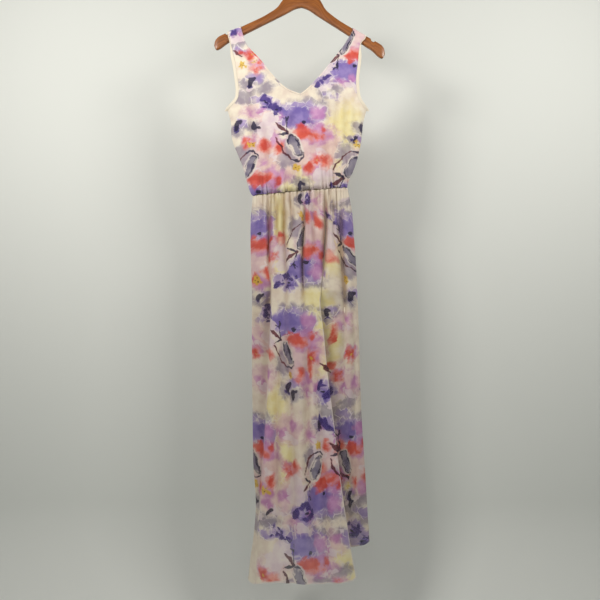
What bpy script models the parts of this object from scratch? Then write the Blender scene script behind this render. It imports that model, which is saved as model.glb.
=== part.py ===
"""A sleeveless maxi dress of lined chiffon, hanging from a flat wooden hanger.

The frame has x to the viewer's right, y to the back and z up, in metres. The origin is the
inside of the hanger hook's top, so every height is given as a drop below the hook.
"""

import math
from typing import NamedTuple

import bmesh
import bpy
import numpy as np
from mathutils import Matrix

# Cloth
CLOTH = 0.0012
BINDING = 0.0014
SEAM_GAP = 0.0003
SIDE_SEAM_HALF = 0.0005
SLIT_SEAM_HALF = 0.0008
DRESS_X = -0.006

# Waist and hems, as drops below the hook
WAIST_DROP = 0.5735
ELASTIC_HEIGHT = 0.0125
ELASTIC_DEPTH = 0.0140
ELASTIC_INSET = 0.004
SLIT_DROP = 0.822
LINING_HEM_DROP = 0.931
HEM_DIP = 0.020
HEM_DIP_DROPS = (1.475, 1.512)
HEM_DIP_REACH = (0.060, 0.127)
LINING_INSET = 0.007
LINING_SHARE = 0.60
LINING_ROUNDNESS = 0.8

# Bodice
UNDERARM_DROP = 0.367
SHOULDER_RADIUS = 0.0085
SHOULDER_CLEARANCE = 0.0020
STRAP_BLEND = (0.195, 0.275)
DOME_POWER = 2.5
BODICE_BACK_SHARE = 0.85
BACK_NECK_EXTRA = 0.006
BACK_V_EXTRA = 0.010
NECK_BINDING_WIDTH = 0.004
ARMHOLE_FACING_WIDTH = 0.008
SHOULDER_TAPER = 0.25
TAPER_DROPS = (0.195, 0.235)

# Hanger
HANGER_THICKNESS = 0.012
HANGER_TOP_DROP = 0.070
HANGER_TILT = math.radians(2.9)
HANGER_EDGE = 0.004
NOTCH_AT = 0.184
NOTCH_RADIUS = 0.0052
NOTCH_LIFT = 0.0005
NOTCH_SIDES = 16
EDGE_STEPS = 2
CORNER_ANGLE = math.radians(60)
HOOK_WIRE = 0.00175
HOOK_INSIDE = 0.020
HOOK_START = math.radians(-65)
HOOK_END = math.radians(205)
HOOK_POINTS = 30
STEM_STRAIGHT = 0.012
STEM_BEND = (0.001, 0.020)

# Mesh steps
HALF_BODICE_COLUMNS = 9
WRAP_STEPS = 3
SKIRT_ROWS = 12
FRONT_LEFT_COLUMNS = 23
FRONT_RIGHT_COLUMNS = 10
BACK_COLUMNS = 27
LINING_COLUMNS = 17
LINING_ROWS = 5
RING_STEPS = 40


class HalfRow(NamedTuple):
    """One row across half of the bodice, from armhole or side seam to neck or centre."""

    outer_x: float
    outer_drop: float
    inner_x: float
    inner_drop: float


class BodyRow(NamedTuple):
    """The bodice's reach at one drop: its half widths and the depth of its front."""

    drop: float
    left: float
    right: float
    depth: float


class SkirtRow(NamedTuple):
    """The skirt's section at one drop: silhouette, depths and where its side seams lie."""

    drop: float
    left: float
    right: float
    front: float
    back: float
    seam_y: float


class SlitRow(NamedTuple):
    """The slit's upper edge at one drop, and how much of the under panel it covers."""

    drop: float
    edge_x: float
    overlap: float
    under_share: float


class Fold(NamedTuple):
    """A soft trough (depth over zero) or ridge (under zero) that runs down a panel."""

    x_top: float
    x_bottom: float
    width: float
    depth: float
    start: float
    end: float


LEFT_HALF = (
    HalfRow(-0.1810, 0.1672, -0.1500, 0.1534),
    HalfRow(-0.1741, 0.2010, -0.1337, 0.2057),
    HalfRow(-0.1631, 0.2476, -0.1010, 0.2480),
    HalfRow(-0.1568, 0.2883, -0.0717, 0.2873),
    HalfRow(-0.1537, 0.3188, -0.0360, 0.3220),
    HalfRow(-0.1580, 0.3440, 0.0013, 0.3378),
    HalfRow(-0.1830, 0.3670, 0.0013, 0.3700),
    HalfRow(-0.1746, 0.3980, 0.0013, 0.4000),
    HalfRow(-0.1746, 0.4230, 0.0013, 0.4250),
    HalfRow(-0.1687, 0.4509, 0.0013, 0.4510),
    HalfRow(-0.1575, 0.4778, 0.0013, 0.4780),
    HalfRow(-0.1453, 0.5043, 0.0013, 0.5040),
    HalfRow(-0.1370, 0.5300, 0.0013, 0.5300),
    HalfRow(-0.1290, 0.5540, 0.0013, 0.5540),
    HalfRow(-0.1240, 0.5680, 0.0013, 0.5680),
    HalfRow(-0.1194, 0.5720, 0.0013, 0.5720),
)

RIGHT_HALF = (
    HalfRow(0.1640, 0.1733, 0.1347, 0.1573),
    HalfRow(0.1512, 0.2019, 0.1155, 0.1990),
    HalfRow(0.1456, 0.2476, 0.0839, 0.2484),
    HalfRow(0.1408, 0.2883, 0.0540, 0.2870),
    HalfRow(0.1420, 0.3188, 0.0260, 0.3180),
    HalfRow(0.1480, 0.3440, 0.0013, 0.3378),
    HalfRow(0.1677, 0.3670, 0.0013, 0.3700),
    HalfRow(0.1601, 0.3980, 0.0013, 0.4000),
    HalfRow(0.1575, 0.4230, 0.0013, 0.4250),
    HalfRow(0.1535, 0.4509, 0.0013, 0.4510),
    HalfRow(0.1481, 0.4778, 0.0013, 0.4780),
    HalfRow(0.1420, 0.5043, 0.0013, 0.5040),
    HalfRow(0.1340, 0.5300, 0.0013, 0.5300),
    HalfRow(0.1235, 0.5540, 0.0013, 0.5540),
    HalfRow(0.1200, 0.5680, 0.0013, 0.5680),
    HalfRow(0.1185, 0.5720, 0.0013, 0.5720),
)
V_ROW = 5

BODY = (
    BodyRow(0.150, -0.1990, 0.1830, 0.016),
    BodyRow(0.250, -0.1930, 0.1770, 0.023),
    BodyRow(UNDERARM_DROP, -0.1830, 0.1677, 0.028),
    BodyRow(0.398, -0.1746, 0.1601, 0.030),
    BodyRow(0.423, -0.1746, 0.1575, 0.031),
    BodyRow(0.4509, -0.1687, 0.1535, 0.032),
    BodyRow(0.4778, -0.1575, 0.1481, 0.033),
    BodyRow(0.5043, -0.1453, 0.1420, 0.034),
    BodyRow(0.530, -0.1370, 0.1340, 0.033),
    BodyRow(0.554, -0.1290, 0.1235, 0.030),
    BodyRow(0.568, -0.1240, 0.1200, 0.025),
    BodyRow(0.572, -0.1194, 0.1185, 0.0205),
)

SKIRT = (
    SkirtRow(WAIST_DROP, -0.1194, 0.1205, 0.019, 0.019, 0.000),
    SkirtRow(0.5950, -0.1215, 0.1250, 0.025, 0.024, 0.000),
    SkirtRow(0.6262, -0.1243, 0.1311, 0.032, 0.031, 0.000),
    SkirtRow(0.6847, -0.1255, 0.1365, 0.040, 0.038, 0.000),
    SkirtRow(0.7507, -0.1243, 0.1415, 0.044, 0.042, 0.000),
    SkirtRow(0.8270, -0.1217, 0.1453, 0.047, 0.044, 0.000),
    SkirtRow(0.9515, -0.1220, 0.1499, 0.051, 0.046, 0.000),
    SkirtRow(1.0557, -0.1210, 0.1525, 0.056, 0.048, -0.002),
    SkirtRow(1.1573, -0.1194, 0.1565, 0.062, 0.051, -0.006),
    SkirtRow(1.2513, -0.1175, 0.1618, 0.065, 0.056, -0.013),
    SkirtRow(1.3657, -0.1100, 0.1677, 0.068, 0.064, -0.024),
    SkirtRow(1.4400, -0.1160, 0.1708, 0.069, 0.070, -0.032),
    SkirtRow(1.5120, -0.1270, 0.1720, 0.067, 0.075, -0.040),
)

SLIT = (
    SlitRow(WAIST_DROP, 0.0620, 0.000, 1.00),
    SlitRow(0.7507, 0.0600, 0.000, 1.00),
    SlitRow(SLIT_DROP, 0.0520, 0.000, 1.00),
    SlitRow(0.8500, 0.0505, 0.000, 0.80),
    SlitRow(0.9253, 0.0587, 0.020, 0.74),
    SlitRow(1.0274, 0.0683, 0.034, 0.68),
    SlitRow(1.1590, 0.0847, 0.044, 0.58),
    SlitRow(1.2241, 0.0916, 0.048, 0.52),
    SlitRow(1.3132, 0.1028, 0.052, 0.44),
    SlitRow(1.3973, 0.1150, 0.056, 0.38),
    SlitRow(1.4617, 0.1250, 0.060, 0.34),
    SlitRow(1.5120, 0.1340, 0.064, 0.30),
)
CREASE_LIMIT = 0.3
FOLD_RISE = 1 / 6
FOLD_FALL = 1 / 2

LONG_HEM_DROP = 1.512
SHORT_HEM_DROP = 1.450
BACK_HEM_DROP = 1.470

FRONT_FOLDS = (
    Fold(-0.081, -0.060, 0.009, 0.010, 0.580, 0.860),
    Fold(-0.070, -0.104, 0.010, -0.006, 0.720, 1.400),
    Fold(-0.095, -0.116, 0.010, 0.007, 0.720, 1.380),
    Fold(0.010, 0.004, 0.009, 0.010, 0.580, 1.000),
    Fold(-0.028, -0.030, 0.016, 0.006, 0.700, 1.512),
    Fold(0.030, 0.052, 0.014, 0.006, 0.840, 1.512),
    Fold(0.062, 0.058, 0.010, 0.010, 0.585, 0.850),
    Fold(0.098, 0.108, 0.014, 0.006, 0.600, 1.300),
)

BACK_FOLDS = (
    Fold(-0.085, -0.070, 0.012, 0.010, 0.585, 1.200),
    Fold(-0.030, -0.040, 0.014, 0.009, 0.600, 1.470),
    Fold(0.022, 0.016, 0.012, 0.011, 0.585, 1.350),
    Fold(0.070, 0.078, 0.013, 0.009, 0.590, 1.470),
    Fold(0.110, 0.124, 0.012, 0.007, 0.640, 1.470),
)

# Half outline of the hanger, from the crown's middle round the tip to the underside's middle.
# Its first TOP_POINTS points are the top edge.
TOP_POINTS = 13
HANGER_HALF = (
    (0.000, 0.000),
    (0.018, -0.001),
    (0.034, -0.005),
    (0.044, -0.012),
    (0.051, -0.022),
    (0.060, -0.036),
    (0.085, -0.056),
    (0.133, -0.083),
    (0.152, -0.093),
    (0.196, -0.114),
    (0.208, -0.121),
    (0.215, -0.131),
    (0.217, -0.142),
    (0.213, -0.151),
    (0.180, -0.132),
    (0.150, -0.115),
    (0.090, -0.081),
    (0.040, -0.053),
    (0.014, -0.038),
    (0.000, -0.034),
)


def clear_scene() -> None:
    """Removes whatever the scene holds."""
    for item in list(bpy.data.objects):
        bpy.data.objects.remove(item, do_unlink=True)


def finish(name: str, colour: tuple, roughness: float, metallic: float = 0.0) -> bpy.types.Material:
    """A Principled material with the part's own colour."""
    material = bpy.data.materials.new(name)
    material.use_nodes = True
    shader = material.node_tree.nodes["Principled BSDF"]
    shader.inputs["Base Color"].default_value = (*colour, 1.0)
    shader.inputs["Roughness"].default_value = roughness
    shader.inputs["Metallic"].default_value = metallic
    return material


def column(table: tuple, name: str) -> np.ndarray:
    """One named column of a table."""
    return np.array([getattr(row, name) for row in table])


def read(table: tuple, name: str, drop: np.ndarray) -> np.ndarray:
    """A table's column at any drop, on straight runs between its rows."""
    return np.interp(drop, column(table, "drop"), column(table, name))


def smooth_step(low: float, high: float, value: np.ndarray) -> np.ndarray:
    """0 below low, 1 above high, and an S curve between them."""
    share = np.clip((value - low) / (high - low), 0.0, 1.0)
    return share * share * (3.0 - 2.0 * share)


def fold_depth(folds: tuple, x: np.ndarray, drop: np.ndarray) -> np.ndarray:
    """How far the folds push the cloth inwards at each place."""
    total = np.zeros_like(x)
    for fold in folds:
        run = np.clip((drop - WAIST_DROP) / (LONG_HEM_DROP - WAIST_DROP), 0.0, 1.0)
        centre = fold.x_top + (fold.x_bottom - fold.x_top) * run
        length = fold.end - fold.start
        ends_past_hem = fold.end >= BACK_HEM_DROP
        falling = 1.0 - smooth_step(fold.end - length * FOLD_FALL, fold.end, drop)
        fade_out = 1.0 if ends_past_hem else falling
        fade = smooth_step(fold.start, fold.start + length * FOLD_RISE, drop) * fade_out
        total += fold.depth * fade * np.exp(-(((x - centre) / fold.width) ** 2))
    return total


def cloth_object(name: str, parts: list, material: bpy.types.Material) -> bpy.types.Object:
    """A cloth wall from point grids of rows by columns, welded where grids share points."""
    shape = bmesh.new()
    for grid in parts:
        rows, columns, _ = grid.shape
        points = [[shape.verts.new(point) for point in row] for row in grid]
        for row in range(rows - 1):
            for col in range(columns - 1):
                shape.faces.new(
                    (
                        points[row][col],
                        points[row + 1][col],
                        points[row + 1][col + 1],
                        points[row][col + 1],
                    )
                )
    bmesh.ops.remove_doubles(shape, verts=shape.verts, dist=SEAM_GAP / 10)
    bmesh.ops.recalc_face_normals(shape, faces=shape.faces)
    mesh = bpy.data.meshes.new(name)
    shape.to_mesh(mesh)
    shape.free()
    mesh.materials.append(material)
    mesh.shade_smooth()
    piece = bpy.data.objects.new(name, mesh)
    bpy.context.scene.collection.objects.link(piece)
    solid = piece.modifiers.new("wall", "SOLIDIFY")
    solid.thickness = CLOTH
    solid.offset = 0.0
    return piece


def band_object(name: str, strands: list, material: bpy.types.Material) -> bpy.types.Object:
    """A closed band through loops of equal length, its faces turned outwards."""
    steps = len(strands[0])
    faces = []
    for strand in range(len(strands)):
        following = (strand + 1) % len(strands)
        for step in range(steps):
            onward = (step + 1) % steps
            faces.append(
                (
                    strand * steps + step,
                    strand * steps + onward,
                    following * steps + onward,
                    following * steps + step,
                )
            )
    mesh = bpy.data.meshes.new(name)
    mesh.from_pydata(np.concatenate(strands).tolist(), [], faces)
    shape = bmesh.new()
    shape.from_mesh(mesh)
    bmesh.ops.recalc_face_normals(shape, faces=shape.faces)
    shape.to_mesh(mesh)
    shape.free()
    mesh.materials.append(material)
    piece = bpy.data.objects.new(name, mesh)
    bpy.context.scene.collection.objects.link(piece)
    return piece


def dome(x: np.ndarray, left: np.ndarray, right: np.ndarray) -> np.ndarray:
    """A section's share of its full depth: 1 in the middle, 0 at both silhouettes."""
    middle = (left + right) / 2
    share = np.clip(np.abs(x - middle) / ((right - left) / 2), 0.0, 1.0)
    return np.sqrt(1.0 - share**DOME_POWER)


def hanger_place(x: np.ndarray, z: np.ndarray) -> tuple:
    """Where a point of the hanger's own outline lies once it is tilted about its crown."""
    turn_cos, turn_sin = math.cos(HANGER_TILT), math.sin(HANGER_TILT)
    return x * turn_cos + z * turn_sin, z * turn_cos - x * turn_sin - HANGER_TOP_DROP


def hanger_top(x: np.ndarray) -> np.ndarray:
    """The drop of the hanger's top edge at each x, notches left out."""
    half = np.array(HANGER_HALF[:TOP_POINTS])
    outline = np.concatenate((half[::-1] * (-1.0, 1.0), half[1:]))
    place_x, place_z = hanger_place(outline[:, 0], outline[:, 1])
    return np.interp(x, place_x, -place_z)


def bodice_half(table: tuple, side: float) -> np.ndarray:
    """Point grid of half a bodice panel; side is -1 for the front and +1 for the back.

    The first rows wrap the strap over the hanger as an arc round its top edge. The others
    hang below, from the armhole or side seam to the neck edge or centre.
    """
    edges = {name: column(table, name) for name in HalfRow._fields}
    if side > 0:
        outwards = np.sign(edges["outer_x"][0])
        above_v = (np.arange(len(table)) < V_ROW) & (np.arange(len(table)) > 0)
        edges["inner_x"] = edges["inner_x"] + outwards * BACK_NECK_EXTRA * above_v
        edges["inner_drop"] = edges["inner_drop"] + BACK_V_EXTRA * (np.arange(len(table)) == V_ROW)
    angles = np.linspace(0.0, math.pi / 2, WRAP_STEPS, endpoint=False)
    across = 1.0 - np.cos(np.linspace(0.0, math.pi / 2, HALF_BODICE_COLUMNS))
    x = np.outer(edges["outer_x"], 1 - across) + np.outer(edges["inner_x"], across)
    drop = np.outer(edges["outer_drop"], 1 - across) + np.outer(edges["inner_drop"], across)
    crown_x = x[0]
    crown_drop = hanger_top(crown_x + DRESS_X) - SHOULDER_CLEARANCE
    drop[0] = crown_drop + SHOULDER_RADIUS
    left = read(BODY, "left", drop)
    right = read(BODY, "right", drop)
    share = 1.0 if side < 0 else BODICE_BACK_SHARE
    hang = read(BODY, "depth", drop) * dome(x, left, right) * share
    depth = SHOULDER_RADIUS + (hang - SHOULDER_RADIUS) * smooth_step(*STRAP_BLEND, drop)
    depth = np.maximum(depth, SIDE_SEAM_HALF)
    body = np.stack((x + DRESS_X, side * depth, -drop), axis=-1)
    wrap = [
        np.stack(
            (
                crown_x + DRESS_X,
                np.full_like(crown_x, side * max(SHOULDER_RADIUS * math.sin(angle), SEAM_GAP / 2)),
                -(crown_drop + SHOULDER_RADIUS * (1 - math.cos(angle))),
            ),
            axis=-1,
        )
        for angle in angles
    ]
    return np.concatenate((np.array(wrap), body))


def skirt_section(x: np.ndarray, drop: np.ndarray, side: float, share: np.ndarray) -> np.ndarray:
    """The y of the skirt's front (side -1) or back (+1) at each x and drop."""
    left = read(SKIRT, "left", drop)
    right = read(SKIRT, "right", drop)
    depth = read(SKIRT, "front" if side < 0 else "back", drop)
    hang = depth * dome(x, left, right) * share
    folds = FRONT_FOLDS if side < 0 else BACK_FOLDS
    crease = np.minimum(fold_depth(folds, x, drop) * share, hang * CREASE_LIMIT)
    return read(SKIRT, "seam_y", drop) + side * np.maximum(hang - crease, SIDE_SEAM_HALF)


def skirt_panel(first: float, hem: float, side: float, columns: int, span: str) -> np.ndarray:
    """Point grid of a skirt panel; span says which stretch of the section it covers."""
    drop = np.linspace(first, hem, SKIRT_ROWS)
    left = read(SKIRT, "left", drop)
    right = read(SKIRT, "right", drop)
    middle, half = (left + right) / 2, (right - left) / 2
    slit = read(SLIT, "edge_x", drop)
    share = np.ones_like(drop)
    start, stop = left, right
    if span == "front_left":
        stop = slit - SLIT_SEAM_HALF
    if span == "front_right":
        start = slit + SLIT_SEAM_HALF - read(SLIT, "overlap", drop)
        share = read(SLIT, "under_share", drop)
    begin = np.arccos(np.clip((middle - start) / half, -1.0, 1.0))
    end = np.arccos(np.clip((middle - stop) / half, -1.0, 1.0))
    turn = np.linspace(0.0, 1.0, columns)
    angle = begin[:, None] + (end - begin)[:, None] * turn[None, :]
    x = middle[:, None] - half[:, None] * np.cos(angle)
    drops = np.repeat(drop[:, None], columns, axis=1)
    y = skirt_section(x, drops, side, np.repeat(share[:, None], columns, axis=1))
    dip = HEM_DIP * smooth_step(*HEM_DIP_DROPS, drops) * smooth_step(*HEM_DIP_REACH, -x)
    return np.stack((x + DRESS_X, y, -drops - dip), axis=-1)


def lining_panel(side: float) -> np.ndarray:
    """Point grid of a lining panel, a plain half tube inside the skirt."""
    drop = np.linspace(WAIST_DROP + SEAM_GAP, LINING_HEM_DROP, LINING_ROWS)
    left = read(SKIRT, "left", drop) + LINING_INSET
    right = read(SKIRT, "right", drop) - LINING_INSET
    depth = read(SKIRT, "front" if side < 0 else "back", drop) * LINING_SHARE
    angle = np.linspace(0.0, math.pi, LINING_COLUMNS)
    middle, half = (left + right) / 2, (right - left) / 2
    x = middle[:, None] - half[:, None] * np.cos(angle)[None, :]
    y = side * np.maximum(depth[:, None] * np.sin(angle)[None, :] ** LINING_ROUNDNESS, SIDE_SEAM_HALF)
    return np.stack((x + DRESS_X, y, np.repeat(-drop[:, None], LINING_COLUMNS, axis=1)), axis=-1)


def ribbon(name: str, edge: np.ndarray, inside: np.ndarray, width: float, material) -> None:
    """A closed ribbon beside a cloth edge: edge is the loop, inside the next points in the cloth."""
    outwards = edge - inside
    outwards /= np.linalg.norm(outwards, axis=1, keepdims=True)
    along = np.roll(edge, -1, axis=0) - np.roll(edge, 1, axis=0)
    along /= np.linalg.norm(along, axis=1, keepdims=True)
    outwards -= along * np.sum(outwards * along, axis=1, keepdims=True)
    outwards /= np.linalg.norm(outwards, axis=1, keepdims=True)
    normal = np.cross(along, outwards)
    near = CLOTH / 2 + SEAM_GAP
    spread = SHOULDER_TAPER + (1 - SHOULDER_TAPER) * smooth_step(*TAPER_DROPS, -edge[:, 2:])
    far = near + width * spread
    lift = BINDING / 2
    corners = ((near, lift), (far, lift), (far, -lift), (near, -lift))
    strands = [edge + outwards * reach + normal * raised for reach, raised in corners]
    band_object(name, strands, material)


def crown_to_row(down: np.ndarray, up: np.ndarray, last: int, place: int) -> np.ndarray:
    """Points of one grid column down to a row and back up another grid to just under its crown.

    Where the two grids meet, at the crown or at the last row, the point lies midway.
    """
    crown = down[:1, place] * (1.0, 0.0, 1.0)
    foot = (down[last : last + 1, place] + up[last : last + 1, place]) / 2
    return np.concatenate((crown, down[1:last, place], foot, up[1:last, place][::-1]))


def bodice(chiffon, cream) -> None:
    """Front and back panels, the neck binding and the cream armhole facings."""
    front = {"left": bodice_half(LEFT_HALF, -1.0), "right": bodice_half(RIGHT_HALF, -1.0)}
    back = {"left": bodice_half(LEFT_HALF, 1.0), "right": bodice_half(RIGHT_HALF, 1.0)}
    cloth_object("bodice_front", list(front.values()), chiffon)
    cloth_object("bodice_back", list(back.values()), chiffon)

    rows = WRAP_STEPS + V_ROW
    neck = {}
    for place in (-1, -2):
        front_v = crown_to_row(front["left"], front["right"], rows, place)
        back_v = crown_to_row(back["right"], back["left"], rows, place)
        neck[place] = np.concatenate((front_v, back_v))
    below_v = np.array((0.0, 0.0, BINDING * 4))
    for middle in (rows, rows * 3):
        neck[-2][middle] = neck[-1][middle] - below_v
    ribbon("neck_binding", neck[-1], neck[-2], NECK_BINDING_WIDTH, chiffon)
    for side in ("left", "right"):
        arm = [crown_to_row(front[side], back[side], rows + 1, place) for place in (0, 1)]
        ribbon(f"armhole_facing_{side}", arm[0], arm[1], ARMHOLE_FACING_WIDTH, cream)


def waist(cream) -> None:
    """The elastic, a flat oval band inside the waist seam."""
    left, right = SKIRT[0].left + DRESS_X, SKIRT[0].right + DRESS_X
    middle, reach = (left + right) / 2, (right - left) / 2 - ELASTIC_INSET
    angle = np.linspace(0.0, 2 * math.pi, RING_STEPS, endpoint=False)
    rings = []
    for inset, drop in (
        (0.0, WAIST_DROP - ELASTIC_HEIGHT),
        (0.0, WAIST_DROP),
        (BINDING, WAIST_DROP),
        (BINDING, WAIST_DROP - ELASTIC_HEIGHT),
    ):
        half = reach - inset
        x = middle + half * np.cos(angle)
        bulge = dome(x, middle - half, middle + half)
        y = (ELASTIC_DEPTH - inset) * np.sign(np.sin(angle)) * bulge
        rings.append(np.stack((x, y, np.full_like(x, -drop)), axis=-1))
    band_object("waist_elastic", rings, cream)


def skirt(chiffon, cream) -> None:
    """The three sheer panels and the short lining under them."""
    top = WAIST_DROP + SEAM_GAP
    panels = (
        ("skirt_front_left", LONG_HEM_DROP, -1.0, FRONT_LEFT_COLUMNS, "front_left"),
        ("skirt_front_right", SHORT_HEM_DROP, -1.0, FRONT_RIGHT_COLUMNS, "front_right"),
        ("skirt_back", BACK_HEM_DROP, 1.0, BACK_COLUMNS, "back"),
    )
    for name, hem, side, columns, span in panels:
        cloth_object(name, [skirt_panel(top, hem, side, columns, span)], chiffon)
    cloth_object("skirt_lining_front", [lining_panel(-1.0)], cream)
    cloth_object("skirt_lining_back", [lining_panel(1.0)], cream)


def notch_cutter(side: float) -> bpy.types.Object:
    """A round bar across the hanger that cuts the notch in one arm's top edge."""
    along = side * NOTCH_AT * math.cos(HANGER_TILT)
    place = Matrix.Translation((along, 0.0, -float(hanger_top(np.array(along))) + NOTCH_LIFT))
    turn = Matrix.Rotation(math.pi / 2, 4, "X")
    shape = bmesh.new()
    bmesh.ops.create_cone(
        shape,
        cap_ends=True,
        segments=NOTCH_SIDES,
        radius1=NOTCH_RADIUS,
        radius2=NOTCH_RADIUS,
        depth=HANGER_THICKNESS * 2,
        matrix=place @ turn,
    )
    mesh = bpy.data.meshes.new("notch_cutter")
    shape.to_mesh(mesh)
    shape.free()
    cutter = bpy.data.objects.new("notch_cutter", mesh)
    cutter.hide_render = True
    cutter.display_type = "WIRE"
    bpy.context.scene.collection.objects.link(cutter)
    return cutter


def hanger(wood, metal) -> None:
    """The flat wooden hanger, tilted about its crown, and its wire hook."""
    shape = bmesh.new()
    outline = HANGER_HALF + tuple((-x, z) for x, z in HANGER_HALF[-2:0:-1])
    places = [hanger_place(x, z) for x, z in outline]
    ring = [shape.verts.new((x, -HANGER_THICKNESS / 2, z)) for x, z in places]
    face = shape.faces.new(ring)
    grown = bmesh.ops.extrude_face_region(shape, geom=[face])
    raised = [item for item in grown["geom"] if isinstance(item, bmesh.types.BMVert)]
    bmesh.ops.translate(shape, verts=raised, vec=(0.0, HANGER_THICKNESS, 0.0))
    bmesh.ops.recalc_face_normals(shape, faces=shape.faces)
    mesh = bpy.data.meshes.new("hanger_body")
    shape.to_mesh(mesh)
    shape.free()
    mesh.materials.append(wood)
    body = bpy.data.objects.new("hanger_body", mesh)
    bpy.context.scene.collection.objects.link(body)
    edge = body.modifiers.new("worn_edge", "BEVEL")
    edge.width = HANGER_EDGE
    edge.segments = EDGE_STEPS
    edge.limit_method = "ANGLE"
    edge.angle_limit = CORNER_ANGLE
    for side in (-1.0, 1.0):
        notch = body.modifiers.new("notch", "BOOLEAN")
        notch.operation = "DIFFERENCE"
        notch.object = notch_cutter(side)

    radius = HOOK_INSIDE + HOOK_WIRE
    turn = np.linspace(HOOK_START, HOOK_END, HOOK_POINTS)
    loop = [(radius * math.cos(a), 0.0, radius * math.sin(a) - HOOK_INSIDE) for a in turn]
    foot = -HANGER_TOP_DROP + SEAM_GAP * 2
    bend_x, bend_height = STEM_BEND
    stem = [(0.0, 0.0, foot), (0.0, 0.0, foot + STEM_STRAIGHT), (bend_x, 0.0, foot + bend_height)]
    curve = bpy.data.curves.new("hanger_hook", "CURVE")
    curve.dimensions = "3D"
    curve.bevel_depth = HOOK_WIRE
    curve.bevel_resolution = 2
    curve.use_fill_caps = True
    path = stem + loop
    line = curve.splines.new("POLY")
    line.points.add(len(path) - 1)
    for point, place in zip(line.points, path):
        point.co = (*place, 1.0)
    curve.materials.append(metal)
    hook = bpy.data.objects.new("hanger_hook", curve)
    bpy.context.scene.collection.objects.link(hook)


def main() -> None:
    """Builds every piece of the dress and its hanger."""
    clear_scene()
    chiffon = finish("printed_chiffon", (0.66, 0.56, 0.50), 0.75)
    cream = finish("cream_lining", (0.80, 0.75, 0.64), 0.70)
    wood = finish("varnished_wood", (0.20, 0.07, 0.02), 0.40)
    metal = finish("plated_steel", (0.60, 0.60, 0.60), 0.25, 1.0)
    bodice(chiffon, cream)
    waist(cream)
    skirt(chiffon, cream)
    hanger(wood, metal)


main()
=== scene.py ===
"""The looks of a sleeveless maxi dress of lined, printed chiffon on a flat wooden hanger.

The frame has x to the viewer's right, y to the back and z up, in metres. The origin is the inside
of the hanger hook's top, so most heights are given as a drop below it. Cloth coordinates, on which
the print lies, are in millimetres: u across the panel and v down it.
"""

import logging
import math
from dataclasses import dataclass
from enum import Enum
from typing import NamedTuple

import bpy
import numpy as np
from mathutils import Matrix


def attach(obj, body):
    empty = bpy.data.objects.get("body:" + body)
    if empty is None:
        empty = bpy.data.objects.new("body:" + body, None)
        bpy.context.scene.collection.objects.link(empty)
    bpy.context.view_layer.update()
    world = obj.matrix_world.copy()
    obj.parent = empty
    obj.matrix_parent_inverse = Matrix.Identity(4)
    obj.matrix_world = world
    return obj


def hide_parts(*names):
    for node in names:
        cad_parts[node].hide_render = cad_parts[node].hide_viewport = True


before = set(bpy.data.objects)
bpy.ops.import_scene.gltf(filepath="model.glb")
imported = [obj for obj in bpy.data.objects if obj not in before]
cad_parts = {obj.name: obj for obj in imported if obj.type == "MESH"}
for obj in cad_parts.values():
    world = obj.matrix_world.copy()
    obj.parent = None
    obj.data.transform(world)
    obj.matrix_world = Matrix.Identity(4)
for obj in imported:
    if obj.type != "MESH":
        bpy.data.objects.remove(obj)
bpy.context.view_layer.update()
LOG = logging.getLogger("dress")
BODY = "root"
MM = 1000.0

# The dress and its waist
DRESS_X = -0.006
WAIST_DROP = 0.5735
WAIST_SLANT = -0.085
SEAM_GAP = 0.0003
SIDE_SEAM_HALF = 0.0005
SLIT_SEAM_HALF = 0.0008
DOME_POWER = 2.5
CHIFFON_WALL = 0.0007
HEM_WALL = 0.0016

# The hanger, which the straps lie on
HANGER_TOP_DROP = 0.070
HANGER_TILT = math.radians(2.9)
SHOULDER_RADIUS = 0.0085
SHOULDER_CLEARANCE = 0.0020

# The line down the bodice's middle, below the V
CENTRE_X = 0.0013

# Width of cloth that a fold or a gather hides, as a share of its depth
FOLD_TAKE_UP = 2.2
GATHER_TAKE_UP = 0.7
# The least and most width and depth of a gather, and the most that it leans
GATHER_WIDTHS = (0.0016, 0.0032)
GATHER_DEPTHS = (0.0016, 0.0044)
GATHER_LEAN = 0.05
# The depth of hanging cloth below which its creases fade out towards the side seams
CREASE_ROOM = 0.020
# The height of the faint unevenness all over hanging cloth
UNEVENNESS = 0.0006
# The crease depth at which pleats get full painted shade, and the attribute that keeps painted shade
PLEAT_FULL = 0.0075
PAINTED_SHADE_ATTRIBUTE = "painted_shade"

Grid = np.ndarray
Piece = bpy.types.Object
Material = bpy.types.Material
Tree = bpy.types.NodeTree
Socket = bpy.types.NodeSocket


class Paint(Enum):
    """The print's washes and inks, from the first laid on to the last."""

    GLOW = "glow"
    BLUSH = "blush"
    GREY = "grey"
    PETAL = "petal"
    LILAC = "lilac"
    VIOLET = "violet"
    ORCHID = "orchid"
    SALMON = "salmon"
    CORAL = "coral"
    MARGIN = "margin"
    BUD = "bud"
    MAROON = "maroon"
    DEEP = "deep"
    INK = "ink"
    YELLOW = "yellow"
    DOTS = "dots"


class Motif(Enum):
    """The kinds of motif in the print."""

    BLOOM = "bloom"
    FLOWER = "flower"
    DAB = "dab"
    STROKES = "strokes"
    STREAK = "streak"
    LEAF = "leaf"
    PINK = "pink"
    MIST = "mist"
    POLLEN = "pollen"
    SUN = "sun"


class Span(Enum):
    """The stretch of the skirt's section that a panel covers."""

    FRONT_LEFT = "front_left"
    FRONT_RIGHT = "front_right"
    BACK = "back"


class Blob(NamedTuple):
    """A soft oval of paint; a rim over zero leaves only a ring that wide."""

    paint: Paint
    x: float
    y: float
    half_width: float
    half_height: float
    turn: float = 0.0
    rim: float = 0.0


class Stroke(NamedTuple):
    """A brush stroke that swells or thins from start to end."""

    paint: Paint
    x_start: float
    y_start: float
    x_end: float
    y_end: float
    half_start: float
    half_end: float


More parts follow.
